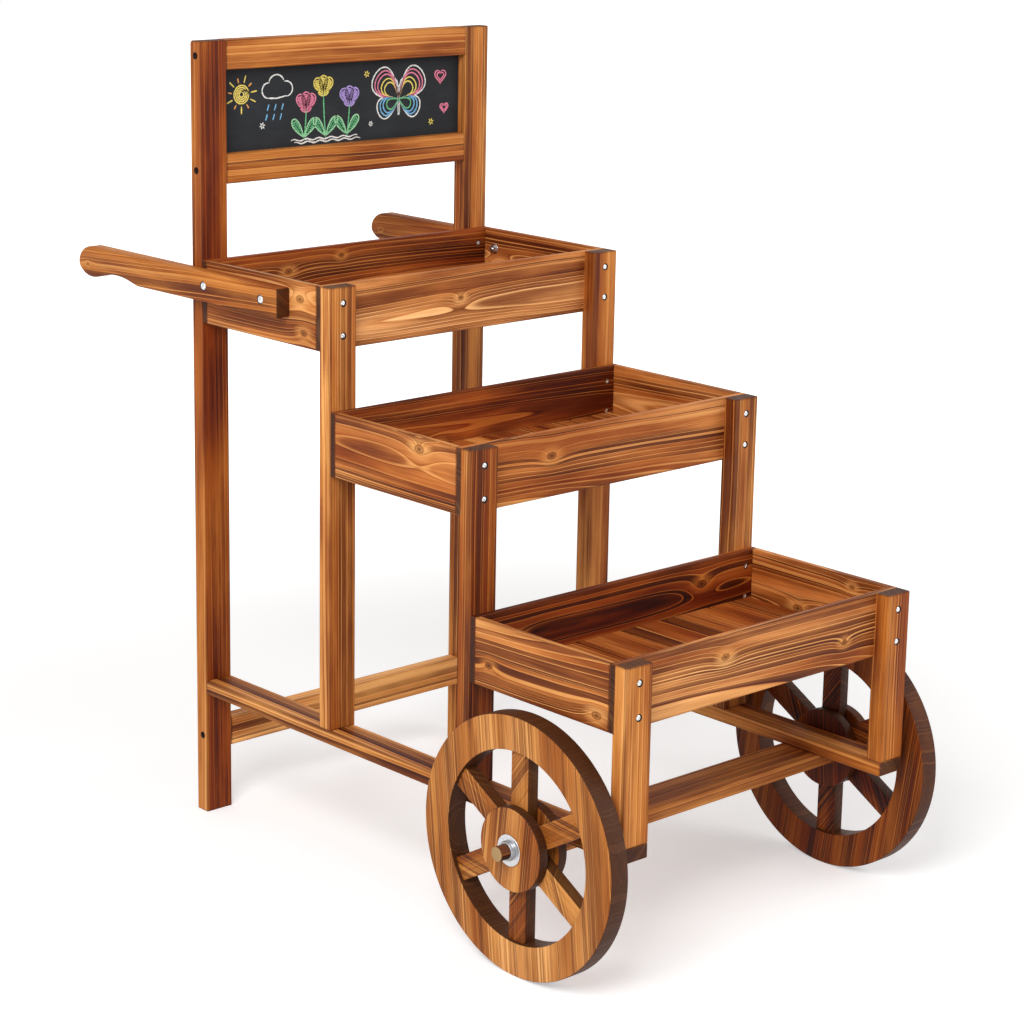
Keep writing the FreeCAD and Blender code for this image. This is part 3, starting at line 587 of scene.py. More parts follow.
@dataclass(frozen=True)
class BlackboardPaint:
    """Matte blackboard paint on thin board: charcoal with the pale clouds of wiped chalk."""

    ground: str = "#25272A"
    dust: str = "#43474D"

    def material(self) -> bpy.types.Material:
        """Makes the paint."""
        made, tree = new_finish("blackboard_paint")
        where = add(tree, PLACE).outputs["Object"]
        wiped = add(tree, VECTOR_MATH, TIMES, where, (9.0, 9.0, 22.0))
        cloud = add(tree, NOISE, None, wiped, Scale=1.0, Detail=4.0, Roughness=0.6)
        grit = add(tree, NOISE, None, where, Scale=900.0, Detail=2.0)
        share = add(tree, RANGE, None, cloud, 0.45, 0.8, 0.0, 0.4)
        share = add(tree, MATH, TIMES, share, add(tree, RANGE, None, grit, 0.3, 0.7, 0.5, 1.2))
        colour = add(tree, MIX, BLEND, share, linear(self.ground), linear(self.dust))
        bump = add(tree, BUMP, None, Strength=0.25, Distance=0.3 * MM, Height=grit)
        shader = add(tree, SHADER, None, Base_Color=colour, Roughness=0.82, Normal=bump)
        shader.inputs["Specular IOR Level"].default_value = 0.25
        add(tree, SURFACE, None, shader)
        return made


@dataclass(frozen=True)
class Chalk:
    """Soft chalk on the painted board: the colour breaks up where the stick skipped over the grit."""

    name: str
    colour: str
    skipped: str = "#33363A"

    def material(self) -> bpy.types.Material:
        """Makes one stick's colour."""
        made, tree = new_finish(f"chalk_{self.name}")
        where = add(tree, PLACE).outputs["Object"]
        grit = add(tree, NOISE, None, where, Scale=1100.0, Detail=3.0, Roughness=0.7)
        caught = add(tree, RANGE, EASED, grit, 0.34, 0.52, 0.25, 1.0)
        colour = add(tree, MIX, BLEND, caught, linear(self.skipped), linear(self.colour))
        bump = add(tree, BUMP, None, Strength=0.3, Distance=0.2 * MM, Height=grit)
        shader = add(tree, SHADER, None, Base_Color=colour, Roughness=0.95, Normal=bump)
        shader.inputs["Specular IOR Level"].default_value = 0.1
        add(tree, SURFACE, None, shader)
        return made


@dataclass(frozen=True)
class ZincPlate:
    """Bright zinc on steel: a pale metal with faint turning marks and a slight cloudiness."""

    name: str
    colour: str = "#D9DADC"
    roughness: float = 0.28
    clouded: str = "#A9ABAE"

    def material(self) -> bpy.types.Material:
        """Makes the plating."""
        made, tree = new_finish(f"zinc_plated_steel_{self.name}")
        where = add(tree, PLACE).outputs["Object"]
        cloud = add(tree, NOISE, None, where, Scale=260.0, Detail=3.0, Roughness=0.6)
        share = add(tree, RANGE, None, cloud, 0.3, 0.7, 0.0, 0.35)
        colour = add(tree, MIX, BLEND, share, linear(self.colour), linear(self.clouded))
        rough = add(tree, RANGE, None, cloud, 0.3, 0.7, self.roughness - 0.06, self.roughness + 0.14)
        marks = add(tree, NOISE, None, where, Scale=2200.0, Detail=2.0)
        bump = add(tree, BUMP, None, Strength=0.12, Distance=0.2 * MM, Height=marks)
        shader = add(tree, SHADER, None, Base_Color=colour, Metallic=1.0, Roughness=rough, Normal=bump)
        add(tree, SURFACE, None, shader)
        return made


@dataclass(frozen=True)
class HoleShade:
    """Painted shade for the wall and lip of a drilled hole: nearly black, rough and dry."""

    darkest: str = "#1C0E07"
    lightest: str = "#3A2012"

    def material(self) -> bpy.types.Material:
        """Makes the painted shade of the holes."""
        made, tree = new_finish("painted_hole_shade")
        grit = add(tree, NOISE, None, add(tree, PLACE).outputs["Object"], Scale=700.0, Detail=3.0)
        share = add(tree, RANGE, None, grit, 0.3, 0.7, 0.0, 1.0)
        colour = add(tree, MIX, BLEND, share, linear(self.darkest), linear(self.lightest))
        bump = add(tree, BUMP, None, Strength=0.4, Distance=0.3 * MM, Height=grit)
        shader = add(tree, SHADER, None, Base_Color=colour, Roughness=0.85, Normal=bump)
        add(tree, SURFACE, None, shader)
        return made


SOFTWOOD = Softwood()
FRAME_STAIN = Stain()
BOX_STAIN = Stain(line="#F6AA5E", pale="#CB7838", middle="#9B4E1D", dark="#602B0D", end="#271106")
WHEEL_STAIN = Stain(
    line="#D9914A", pale="#BE7633", middle="#9B5520", dark="#5E2D0E", end="#3A1D0C", roughness=0.48
)
AXLE_STAIN = Stain(line="#A8683A", pale="#8A5230", middle="#744225", dark="#4E2B18", end="#B8976A")


# -------------------------------------------------------------------------------- timber


@dataclass
class Timbers:
    """The straight boards of frame and boxes, which keep their CAD solids and get their wood.

    The flame left some boards lighter than others. TONES lightens a board above 1, and FRONTS is
    the same for the forward faces of the upright stock, which it met head on. The right bottom
    leg's low tone is partly scorch and partly painted shade for the shadow on its inner side.
    inside and slats darken the boxes' back boards and floor slats as painted shade inside the boxes.
    """

    seed: int = 7
    # painted shade: darkens the boxes' back boards, on both faces, for the shade inside the boxes
    inside: float = 0.54
    # painted shade: darkens the boxes' floor slats for the shade inside the boxes
    slats: float = 0.58
    front: float = 0.53
    TONES: ClassVar[dict[str, float]] = {
        "back_post_left": 0.90,
        "back_post_right": 1.25,
        "side_rail_left": 1.25,
        "top_leg_left": 1.50,
        "middle_leg_left": 0.92,
        "bottom_leg_left": 1.22,
        # partly painted shade: darkens the right bottom leg for the shadow on its inner side
        "bottom_leg_right": 0.62,
        "chalkboard_top_rail": 0.90,
        "chalkboard_bottom_rail": 0.72,
        "lower_back_rail": 1.60,
        "top_box_front_board": 1.48,
        "middle_box_front_board": 1.16,
        "bottom_box_front_board": 1.26,
        "top_box_left_end": 1.05,
    }
    FRONTS: ClassVar[dict[str, float]] = {
        "back_post_right": 0.95,
        "top_leg_left": 0.60,
        "top_leg_right": 0.80,
        "middle_leg_right": 0.92,
        "bottom_leg_left": 0.70,
        # lifts the right bottom leg's front face back up from its painted shade
        "bottom_leg_right": 1.20,
    }

    def cut_for(self, name: str, grain: Grain, size: Vector) -> Cut:
        """Chooses how a board was sawn: quarter-sawn frame stock, flat-sawn box boards.

        Args:
            name: the board's node.
            grain: the axis of its fibres.
            size: the board's three sizes.

        Returns:
            The cut.
        """
        dice = random.Random(f"{self.seed}_{name}")
        length = size[grain.value[0]]
        side = dice.choice((-1, 1))
        tone = self.TONES.get(name, 1.0)
        if "box" in name and "ledger" not in name and "slats" not in name:
            knots = []
            for _ in range(dice.choice((1, 1, 2, 2))):
                across = dice.uniform(-0.030, 0.030)
                along = dice.uniform(-0.42, 0.42) * length
                knots.append((across, along, dice.uniform(0.0035, 0.0065)))
            return Cut(
                heart=(dice.uniform(-0.055, 0.055), side * dice.uniform(0.010, 0.028)),
                lean=(dice.uniform(-0.012, 0.012), dice.choice((-1, 1)) * dice.uniform(0.008, 0.040)),
                ring=dice.uniform(0.0046, 0.0066),
                waver=dice.uniform(0.0020, 0.0036),
                knots=tuple(knots),
                scorch=dice.uniform(0.46, 0.60),
                # the back boards carry painted shade for the inside of their box
                tone=(self.inside if "back_board" in name else 1.0) * tone * dice.uniform(1.10, 1.26),
            )
        return Cut(
            heart=(side * dice.uniform(0.05, 0.12), dice.uniform(-0.08, 0.08)),
            lean=(dice.uniform(-0.010, 0.010), dice.uniform(-0.012, 0.012)),
            ring=dice.uniform(0.0050, 0.0085),
            waver=dice.uniform(0.0008, 0.0020),
            scorch=dice.uniform(0.36, 0.50),
            # the floor slats carry painted shade for the inside of their box
            tone=(self.slats if "slats" in name else 1.0) * tone * dice.uniform(1.08, 1.24),
            front=self.FRONTS.get(name, self.front) if grain is Grain.ALONG_Z else 1.0,
        )

    def dress(self, name: str, grain: Grain, stain: Stain) -> None:
        """Gives a CAD node its wood.

        Args:
            name: the node.
            grain: the axis of its fibres.
            stain: its colours.
        """
        low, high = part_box(name)
        cut = self.cut_for(name, grain, high - low)
        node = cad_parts[name]
        node.data.materials.clear()
        node.data.materials.append(SOFTWOOD.material(name, low, high, grain, cut, stain))
        LOG.info("%s: scorched fir, grain %s", name, grain.name)

    def build(self) -> None:
        """Dresses every straight board."""
        for side in SIDES:
            self.dress(f"back_post_{side}", Grain.ALONG_Z, FRAME_STAIN)
            self.dress(f"side_rail_{side}", Grain.ALONG_Y, FRAME_STAIN)
            for tier in RIMS:
                self.dress(f"{tier}_leg_{side}", Grain.ALONG_Z, FRAME_STAIN)
                self.dress(f"{tier}_box_{side}_end", Grain.ALONG_Y, BOX_STAIN)
        for name in ("chalkboard_top_rail", "chalkboard_bottom_rail", "lower_back_rail", "axle_beam"):
            self.dress(name, Grain.ALONG_X, FRAME_STAIN)
        for tier in RIMS:
            for part in ("front_board", "back_board", "front_ledger", "back_ledger"):
                self.dress(f"{tier}_box_{part}", Grain.ALONG_X, BOX_STAIN)
            self.dress(f"{tier}_box_floor_slats", Grain.ALONG_Y, BOX_STAIN)


# ------------------------------------------------------------------------ turned pieces


def soften(corners: list[tuple[float, float, float]], steps: int = 5) -> Outline:
    """Rounds the corners of a closed outline.

    Args:
        corners: each corner's two coordinates and the radius of its rounding.
        steps: how many edges each rounding gets.

    Returns:
        The points of the rounded outline.
    """
    points = []
    count = len(corners)
    for index, (x, y, radius) in enumerate(corners):
        if radius <= 0:
            points.append((x, y))
            continue
        here = Vector((x, y))
        before = (Vector(corners[index - 1][:2]) - here).normalized()
        after = (Vector(corners[(index + 1) % count][:2]) - here).normalized()
        half = before.angle(after) / 2
        reach = radius / math.tan(half)
        centre = here + (before + after).normalized() * (radius / math.sin(half))
        start = here + before * reach - centre
        end = here + after * reach - centre
        turn = math.atan2(start.x * end.y - start.y * end.x, start.dot(end))
        for step in range(steps + 1):
            points.append(tuple(centre + Matrix.Rotation(turn * step / steps, 2) @ start))
    return points


def circle(radius: float, segments: int) -> Outline:
    """Points evenly round a circle."""
    turns = [2 * math.pi * step / segments for step in range(segments)]
    return [(radius * math.cos(turn), radius * math.sin(turn)) for turn in turns]


def skin(shape: bmesh.types.BMesh, rows: list[list], closed: bool = False) -> None:
    """Joins round rows of vertices with faces.

    Args:
        shape: the mesh being built.
        rows: the rows, each a ring of vertices or one vertex on the axis.
        closed: whether the last row joins the first.
    """
    for low, high in zip(rows, rows[1:] + rows[:1] if closed else rows[1:]):
        segments = max(len(low), len(high))
        for step in range(segments):
            after = (step + 1) % segments
            turns = ((low, step), (low, after), (high, after), (high, step))
            corners = list(dict.fromkeys(row[place % len(row)] for row, place in turns))
            if len(corners) > 2:
                shape.faces.new(corners)


def lathe(name: str, outline: Outline, segments: int, closed: bool = True) -> bpy.types.Mesh:
    """Turns an outline of (radius, height) points about Z.

    Args:
        name: the mesh's name.
        outline: the points in order.
        segments: how many steps make the round.
        closed: whether the last point joins the first, or both ends lie on the axis.

    Returns:
        The mesh, its faces outwards.
    """
    shape = bmesh.new()
    rings = []
    for radius, height in outline:
        spots = circle(radius, segments) if radius > 0.0001 * MM else [(0.0, 0.0)]
        rings.append([shape.verts.new((x, y, height)) for x, y in spots])
    skin(shape, rings, closed)
    bmesh.ops.recalc_face_normals(shape, faces=shape.faces)
    mesh = to_mesh(shape, name)
    smooth(mesh)
    return mesh


def point_along_x(mesh: bpy.types.Mesh, side: int, start: float, centre: Vector = AXLE) -> bpy.types.Mesh:
    """Turns a mesh made along Z so that it points along X, away from the cart.

    Args:
        mesh: the mesh, which is changed.
        side: -1 on the left, 1 on the right.
        start: how far from the cart's middle its origin goes.
        centre: the axis it goes on.

    Returns:
        The same mesh.
    """
    turn = Matrix.Rotation(math.radians(90 * side), 4, "Y")
    mesh.transform(Matrix.Translation((side * start, centre.y, centre.z)) @ turn)
    return mesh


class Repeater:
    """A Geometry Nodes tree that sets copies of one made piece on points, each turned its own way."""

    INPUTS: ClassVar[dict[str, str]] = {
        "Points": "NodeSocketGeometry",
        "Piece": "NodeSocketObject",
        "Finish": "NodeSocketMaterial",
        "Size": "NodeSocketFloat",
        "Spin": "NodeSocketFloat",
        "Seed": "NodeSocketInt",
    }

    def __init__(self) -> None:
        """Builds the tree with its named inputs."""
        tree = bpy.data.node_groups.new("repeat_on_points", "GeometryNodeTree")
        self.tree = tree
        face = tree.interface
        self.sockets = {
            name: face.new_socket(name, in_out="INPUT", socket_type=kind).identifier
            for name, kind in self.INPUTS.items()
        }
        face.new_socket("Copies", in_out="OUTPUT", socket_type="NodeSocketGeometry")
        given = add(tree, "NodeGroupInput").outputs
        seed = given["Seed"]
        number = {"data_type": "FLOAT"}
        piece = add(tree, "GeometryNodeObjectInfo", None, given["Piece"]).outputs["Geometry"]
        turn = add(tree, "GeometryNodeInputNamedAttribute", {"data_type": "FLOAT_VECTOR"}, "turn")
        copies = add(
            tree,
            "GeometryNodeInstanceOnPoints",
            Points=given["Points"],
            Instance=piece,
            Rotation=add(tree, "FunctionNodeEulerToRotation", None, turn),
            Scale=given["Size"],
        )
        chance = add(tree, "FunctionNodeRandomValue", number, 0.0, given["Spin"], Seed=seed)
        spin = add(tree, JOIN, None, 0.0, 0.0, chance)
        copies = add(tree, "GeometryNodeRotateInstances", Instances=copies, Rotation=spin)
        luck = add(tree, "FunctionNodeRandomValue", number, Seed=seed)
        copies = add(
            tree,
            "GeometryNodeStoreNamedAttribute",
            number | {"domain": "INSTANCE"},
            Geometry=copies,
            Name="luck",
            Value=luck,
        )
        copies = add(tree, "GeometryNodeRealizeInstances", None, copies)
        copies = add(tree, "GeometryNodeSetMaterial", None, copies, None, given["Finish"])
        add(tree, "NodeGroupOutput", None, copies)

    def make(
        self,
        name: str,
        piece: bpy.types.Mesh,
        spots: Spots,
        finish: bpy.types.Material,
        spin: float = 0.0,
        seed: int = 3,
    ) -> bpy.types.Object:
        """Makes one mesh of all the copies.

        Args:
            name: what the piece is called.
            piece: the mesh that is repeated.
            spots: each copy's place and its turn as Euler angles.
            finish: its material.
            spin: the most that a copy turns about its own axis.
            seed: fixes what is random.

        Returns:
            The finished object, with no modifier left.
        """
        template = new_object(name + "_template", piece)
        carrier = bpy.data.meshes.new(name + "_points")
        carrier.from_pydata([tuple(place) for place, _ in spots], [], [])
        turns = carrier.attributes.new("turn", "FLOAT_VECTOR", "POINT")
        for index, (_, turn) in enumerate(spots):
            turns.data[index].vector = turn
        holder = new_object(name + "_holder", carrier)
        nodes = holder.modifiers.new("copies", "NODES")
        nodes.node_group = self.tree
        values = {"Piece": template, "Finish": finish, "Size": 1.0, "Spin": spin, "Seed": seed}
        for socket, value in values.items():
            nodes[self.sockets[socket]] = value
        made = evaluated(holder)
        made.name = name
        for used in (holder, template):
            bpy.data.objects.remove(used)
        LOG.info("%s: %d copies, %d faces", name, len(spots), len(made.polygons))
        return new_object(name, made)


REPEATER = Repeater()


def settle(piece: bpy.types.Object, body: str, slot: str, *nodes: str) -> None:
    """Sets a piece on its body and lets it stand for CAD nodes."""
    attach(piece, body)
    if nodes:
        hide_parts(*nodes)


# -------------------------------------------------------------------------------- wheels


@dataclass
class Wheel:
    """One spoked wheel: a rim cut from an edge-glued panel, six spokes and two hub discs.

    The right wheel is painted darker than the left one as painted shade, for the shadow that it
    stands in, and the left one lighter as painted light; the left one's sawn round sides are more
    deeply scorched.
    """

    side: str
    radius: float = 0.175
    inner: float = 0.129
    rim_thick: float = 0.030
    middle: float = 0.300
    hub_radius: float = 0.056
    hub_thick: float = 0.015
    spoke_thick: float = 0.018
    spoke_width: float = 0.032
    spokes: int = 6
    bore: float = 0.0103
    outer_edge: float = 1.8 * MM
    spoke_edge: float = 1.2 * MM
    # painted light and shade: the same wood lighter on the lit left wheel and darker on the shaded right one
    TONES: ClassVar[dict[str, float]] = {"left": 1.24, "right": 0.48}
    CHARS: ClassVar[dict[str, float]] = {"left": 0.97, "right": 0.80}
    STRIP: ClassVar[Cut] = Cut(
        heart=(0.004, 0.20), lean=(0.0, 0.02), ring=0.0062, waver=0.0016, scorch=0.40, streak=0.55
    )
    SPOKE: ClassVar[Cut] = Cut(heart=(0.30, 0.11), lean=(0.75, 0.0), ring=0.011, waver=0.003, scorch=0.55)

    def ring(self, name: str, inner: float, outer: float, start: float, thick: float) -> bpy.types.Object:
        """Turns a flat ring with softened edges.

        Args:
            name: the piece's name.
            inner: its inner radius.
            outer: its outer radius.
            start: how far from the cart's middle its inner face lies.
            thick: its thickness.

        Returns:
            The ring.
        """
        edge = self.outer_edge
        corners = [(inner, 0.0, 0.5 * MM), (outer, 0.0, edge), (outer, thick, edge), (inner, thick, 0.8 * MM)]
        mesh = lathe(name, soften(corners), 168 if outer > self.hub_radius else 120)
        return new_object(name, point_along_x(mesh, SIDES[self.side], start))

    def panel_wood(self, name: str, reach: float, tilt: float, tone: float) -> bpy.types.Material:
        """Wood of a disc that was sawn from a panel of upright strips.

        Args:
            name: the node that the disc stands for.
            reach: width of a strip.
            tilt: how far the strips lean, in degrees.
            tone: lightens above 1.

        Returns:
            The material, dark on the sawn round sides.
        """
        low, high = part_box(name)
        upright = (Grain.ALONG_Z, self.STRIP, WHEEL_STAIN)
        made = SOFTWOOD.material(name, low, high, *upright, arris=False, turn=tilt)
        tree = made.node_tree
        pattern = next(node for node in tree.nodes if node.type == "GROUP")
        where = add(tree, PLACE).outputs
        offset = add(tree, VECTOR_MATH, LESS, where["Object"], tuple((low + high) / 2))
        leant = add(tree, TURN, ABOUT_X, offset, Angle=math.radians(tilt))
        parts = add(tree, SPLIT, None, leant).outputs
        strip = add(tree, MATH, OVER, add(tree, MATH, PLUS, parts[1], 0.31 * reach), reach)
        count = add(tree, MATH, TIMES, add(tree, MATH, WHOLE, strip), 7.3)
        seeded = add(tree, MATH, PLUS, count, pattern.inputs["Seed"].default_value)
        shade = add(tree, CHANCE, {"noise_dimensions": "1D"}, seeded)
        level = add(tree, RANGE, None, shade, 0.0, 1.0, 0.82 * tone, 1.12 * tone)
        seam = add(tree, MATH, {"operation": "PINGPONG"}, strip, 0.5)
        gap = add(tree, RANGE, None, seam, 0.0, 0.45 * MM / reach, 0.62, 1.0)
        tree.links.new(seeded.outputs[0], pattern.inputs["Seed"])
        tree.links.new(add(tree, MATH, TIMES, level, gap).outputs[0], pattern.inputs["Tone"])
        self.scorch_sides(tree, pattern, self.CHARS[self.side])
        return made

    def scorch_sides(self, tree: bpy.types.NodeTree, pattern: bpy.types.Node, depth: float) -> None:
        """Scorches the faces that don't look along the axle.

        Args:
            tree: the material.
            pattern: its wood.
            depth: how deeply, from 0 to 1.
        """
        facing = add(tree, SPLIT, None, add(tree, PLACE).outputs["Normal"])
        flat = add(tree, MATH, UNSIGNED, facing)
        sides = add(tree, RANGE, EASED, flat, 0.5, 0.9, depth, 0.0)
        tree.links.new(sides.outputs[0], pattern.inputs["Ends"])

    def spoke(self) -> bpy.types.Mesh:
        """One spoke along +Z of its own frame, mitred at the hub and curved to the rim, edges eased."""
        half = self.spoke_width / 2
        mitre = half / math.tan(math.pi / self.spokes)
        curve = [half - self.spoke_width * step / 8 for step in range(9)]
        outline = [(half, mitre)]
        outline += [(across, math.sqrt(self.inner**2 - across**2)) for across in curve]
        outline.append((-half, mitre))
        for step in range(7):
            angle = math.radians(120 - 60 * step / 6)
            outline.append((self.bore * math.cos(angle), self.bore * math.sin(angle)))
        shape = bmesh.new()
        rows = [
            [shape.verts.new((depth, y, z)) for y, z in outline]
            for depth in (-self.spoke_thick / 2, self.spoke_thick / 2)
        ]
        for row in rows:
            shape.faces.new(row)
        skin(shape, rows)
        bmesh.ops.recalc_face_normals(shape, faces=shape.faces)
        long_edges = [
            edge
            for edge in shape.edges
            if edge.calc_length() > self.spoke_thick * 2
            and all(abs(abs(vert.co.y) - half) < 0.001 * MM for vert in edge.verts)
            and edge.verts[0].co.y * edge.verts[1].co.y > 0
        ]
        bmesh.ops.bevel(
            shape, geom=long_edges, offset=self.spoke_edge, segments=3, affect="EDGES", profile=0.5
        )
        mesh = to_mesh(shape, "spoke")
        own = mesh.attributes.new("board", "FLOAT_VECTOR", "POINT")
        for vertex in mesh.vertices:
            x, y, z = vertex.co
            own.data[vertex.index].vector = (y, x, z)
        smooth(mesh)
        return mesh

    def spoke_wood(self) -> bpy.types.Material:
        """Wood of the spokes: its pattern follows each spoke's own frame, with slanting bands."""
        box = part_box(f"{self.side}_wheel_spokes")
        # this wheel's painted light and shade, from TONES
        tone = self.TONES[self.side]
        upright = (Grain.ALONG_Z, self.SPOKE, WHEEL_STAIN)
        made = SOFTWOOD.material(f"{self.side}_spokes", *box, *upright, arris=False)
        tree = made.node_tree
        pattern = next(node for node in tree.nodes if node.type == "GROUP")
        own = add(tree, "ShaderNodeAttribute", {"attribute_name": "board"}).outputs["Vector"]
        luck = add(tree, "ShaderNodeAttribute", {"attribute_name": "luck"}).outputs["Fac"]
        seed = add(tree, MATH, TIMES, luck, 40.0)
        level = add(tree, RANGE, None, luck, 0.0, 1.0, 0.72 * tone, 0.98 * tone)
        for name, socket in (("Across", own), ("Seed", seed.outputs[0]), ("Tone", level.outputs[0])):
            tree.links.new(socket, pattern.inputs[name])
        self.scorch_sides(tree, pattern, 0.88)
        return made

    def build(self) -> None:
        """Makes the wheel's pieces and lets them stand for its nodes."""
        body = f"wheel_{self.side}"
        sign = SIDES[self.side]
        # this wheel's painted light and shade, from TONES
        tone = self.TONES[self.side]
        near = self.middle - self.spoke_thick / 2 - self.hub_thick
        far = self.middle + self.spoke_thick / 2
        rim = (self.inner, self.radius, self.middle - self.rim_thick / 2, self.rim_thick)
        rings = (
            ("rim", *rim, 0.094, -7.0, 1.12),
            ("hub_inner_disc", self.bore, self.hub_radius, near, self.hub_thick, 0.075, 5.0, 0.84),
            ("hub_outer_disc", self.bore, self.hub_radius, far, self.hub_thick, 0.075, 5.0, 0.84),
        )
        for part, inner, outer, start, thick, strip, tilt, lighter in rings:
            node = f"{self.side}_wheel_{part}"
            disc = self.ring(node + "_turned", inner, outer, start, thick)
            disc.data.materials.append(self.panel_wood(node, strip, tilt * sign, lighter * tone))
            settle(disc, body, "wheel_wood", node)
        hub = Vector((sign * self.middle, AXLE.y, AXLE.z))
        spots = [(hub, (2 * math.pi * number / self.spokes, 0.0, 0.0)) for number in range(self.spokes)]
        name = f"{self.side}_wheel_spokes"
        made = REPEATER.make(name + "_shaped", self.spoke(), spots, self.spoke_wood(), seed=5 + sign)
        settle(made, body, "wheel_wood", name)
        LOG.info("wheel %s: rim, %d spokes, two hub discs", self.side, self.spokes)


@dataclass
class AxleHardware:
    """What carries the wheels: turned wooden ends, zinc washers and retaining collars."""

    radius: float = 0.010
    inner_end: float = 0.2736
    tip: float = 0.347
    washer_bore: float = 0.0103
    washer_radius: float = 0.021
    washer_thick: float = 0.002
    washer_starts: tuple[float, float] = (0.2736, 0.3244)
    collar_radius: float = 0.0135
    collar_thick: float = 0.006
    collar_start: float = 0.3264
    STUB: ClassVar[Cut] = Cut(heart=(0.002, 0.003), ring=0.0032, waver=0.001, scorch=0.7, tone=0.95)

    def on_axle(self, start: float) -> Spots:
        """A spot on each side of the cart at a distance from its middle, facing away from it."""
        return [
            (Vector((sign * start, AXLE.y, AXLE.z)), (0.0, math.radians(90 * sign), 0.0))
            for sign in SIDES.values()
        ]

    def stubs(self) -> None:
        """Makes the turned axle ends, their noses eased."""
        length = self.tip - self.inner_end
        outline = [(0.0, 0.0), (self.radius, 0.0)]
        outline += [(self.radius, length * step / 6) for step in range(1, 5)]
        outline += [
            (self.radius, length - 1.2 * MM),
            (self.radius - 0.35 * MM, length - 0.35 * MM),
            (self.radius - 1.2 * MM, length),
            (0.0, length),
        ]
        for side, sign in SIDES.items():
            node = f"axle_stub_{side}"
            mesh = point_along_x(lathe(node + "_turned", outline, 64, closed=False), sign, self.inner_end)
            stub = new_object(node + "_turned", mesh)
            wood = SOFTWOOD.material(node, *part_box(node), Grain.ALONG_X, self.STUB, AXLE_STAIN, arris=False)
            stub.data.materials.append(wood)
            settle(stub, "stand", "axle_wood", node)

    def build(self) -> None:
        """Makes axle ends, washers and collars."""
        self.stubs()
        corners = [
            (self.washer_bore, 0.0, 0.3 * MM),
            (self.washer_radius, 0.0, 0.6 * MM),
            (self.washer_radius, self.washer_thick, 0.6 * MM),
            (self.washer_bore, self.washer_thick, 0.3 * MM),
        ]
        spots = [spot for start in self.washer_starts for spot in self.on_axle(start)]
        washer = lathe("washer", soften(corners), 96)
        made = REPEATER.make("axle_washers_turned", washer, spots, ZincPlate("washer").material())
        settle(made, "stand", "zinc_plate", "axle_washers")
        corners = [
            (self.radius, 0.0, 0.0),
            (self.collar_radius, 0.0, 0.4 * MM),
            (self.collar_radius, self.collar_thick * 0.45, 0.5 * MM),
            (self.collar_radius - 1.1 * MM, self.collar_thick, 0.9 * MM),
            (self.radius, self.collar_thick, 0.6 * MM),
        ]
        collar = lathe("collar", soften(corners), 96)
        finish = ZincPlate("collar", colour="#A9ADB2", roughness=0.34).material()
        made = REPEATER.make("axle_collars_turned", collar, self.on_axle(self.collar_start), finish)
        settle(made, "stand", "zinc_plate", "axle_collars")


# ------------------------------------------------------------------------------- handles


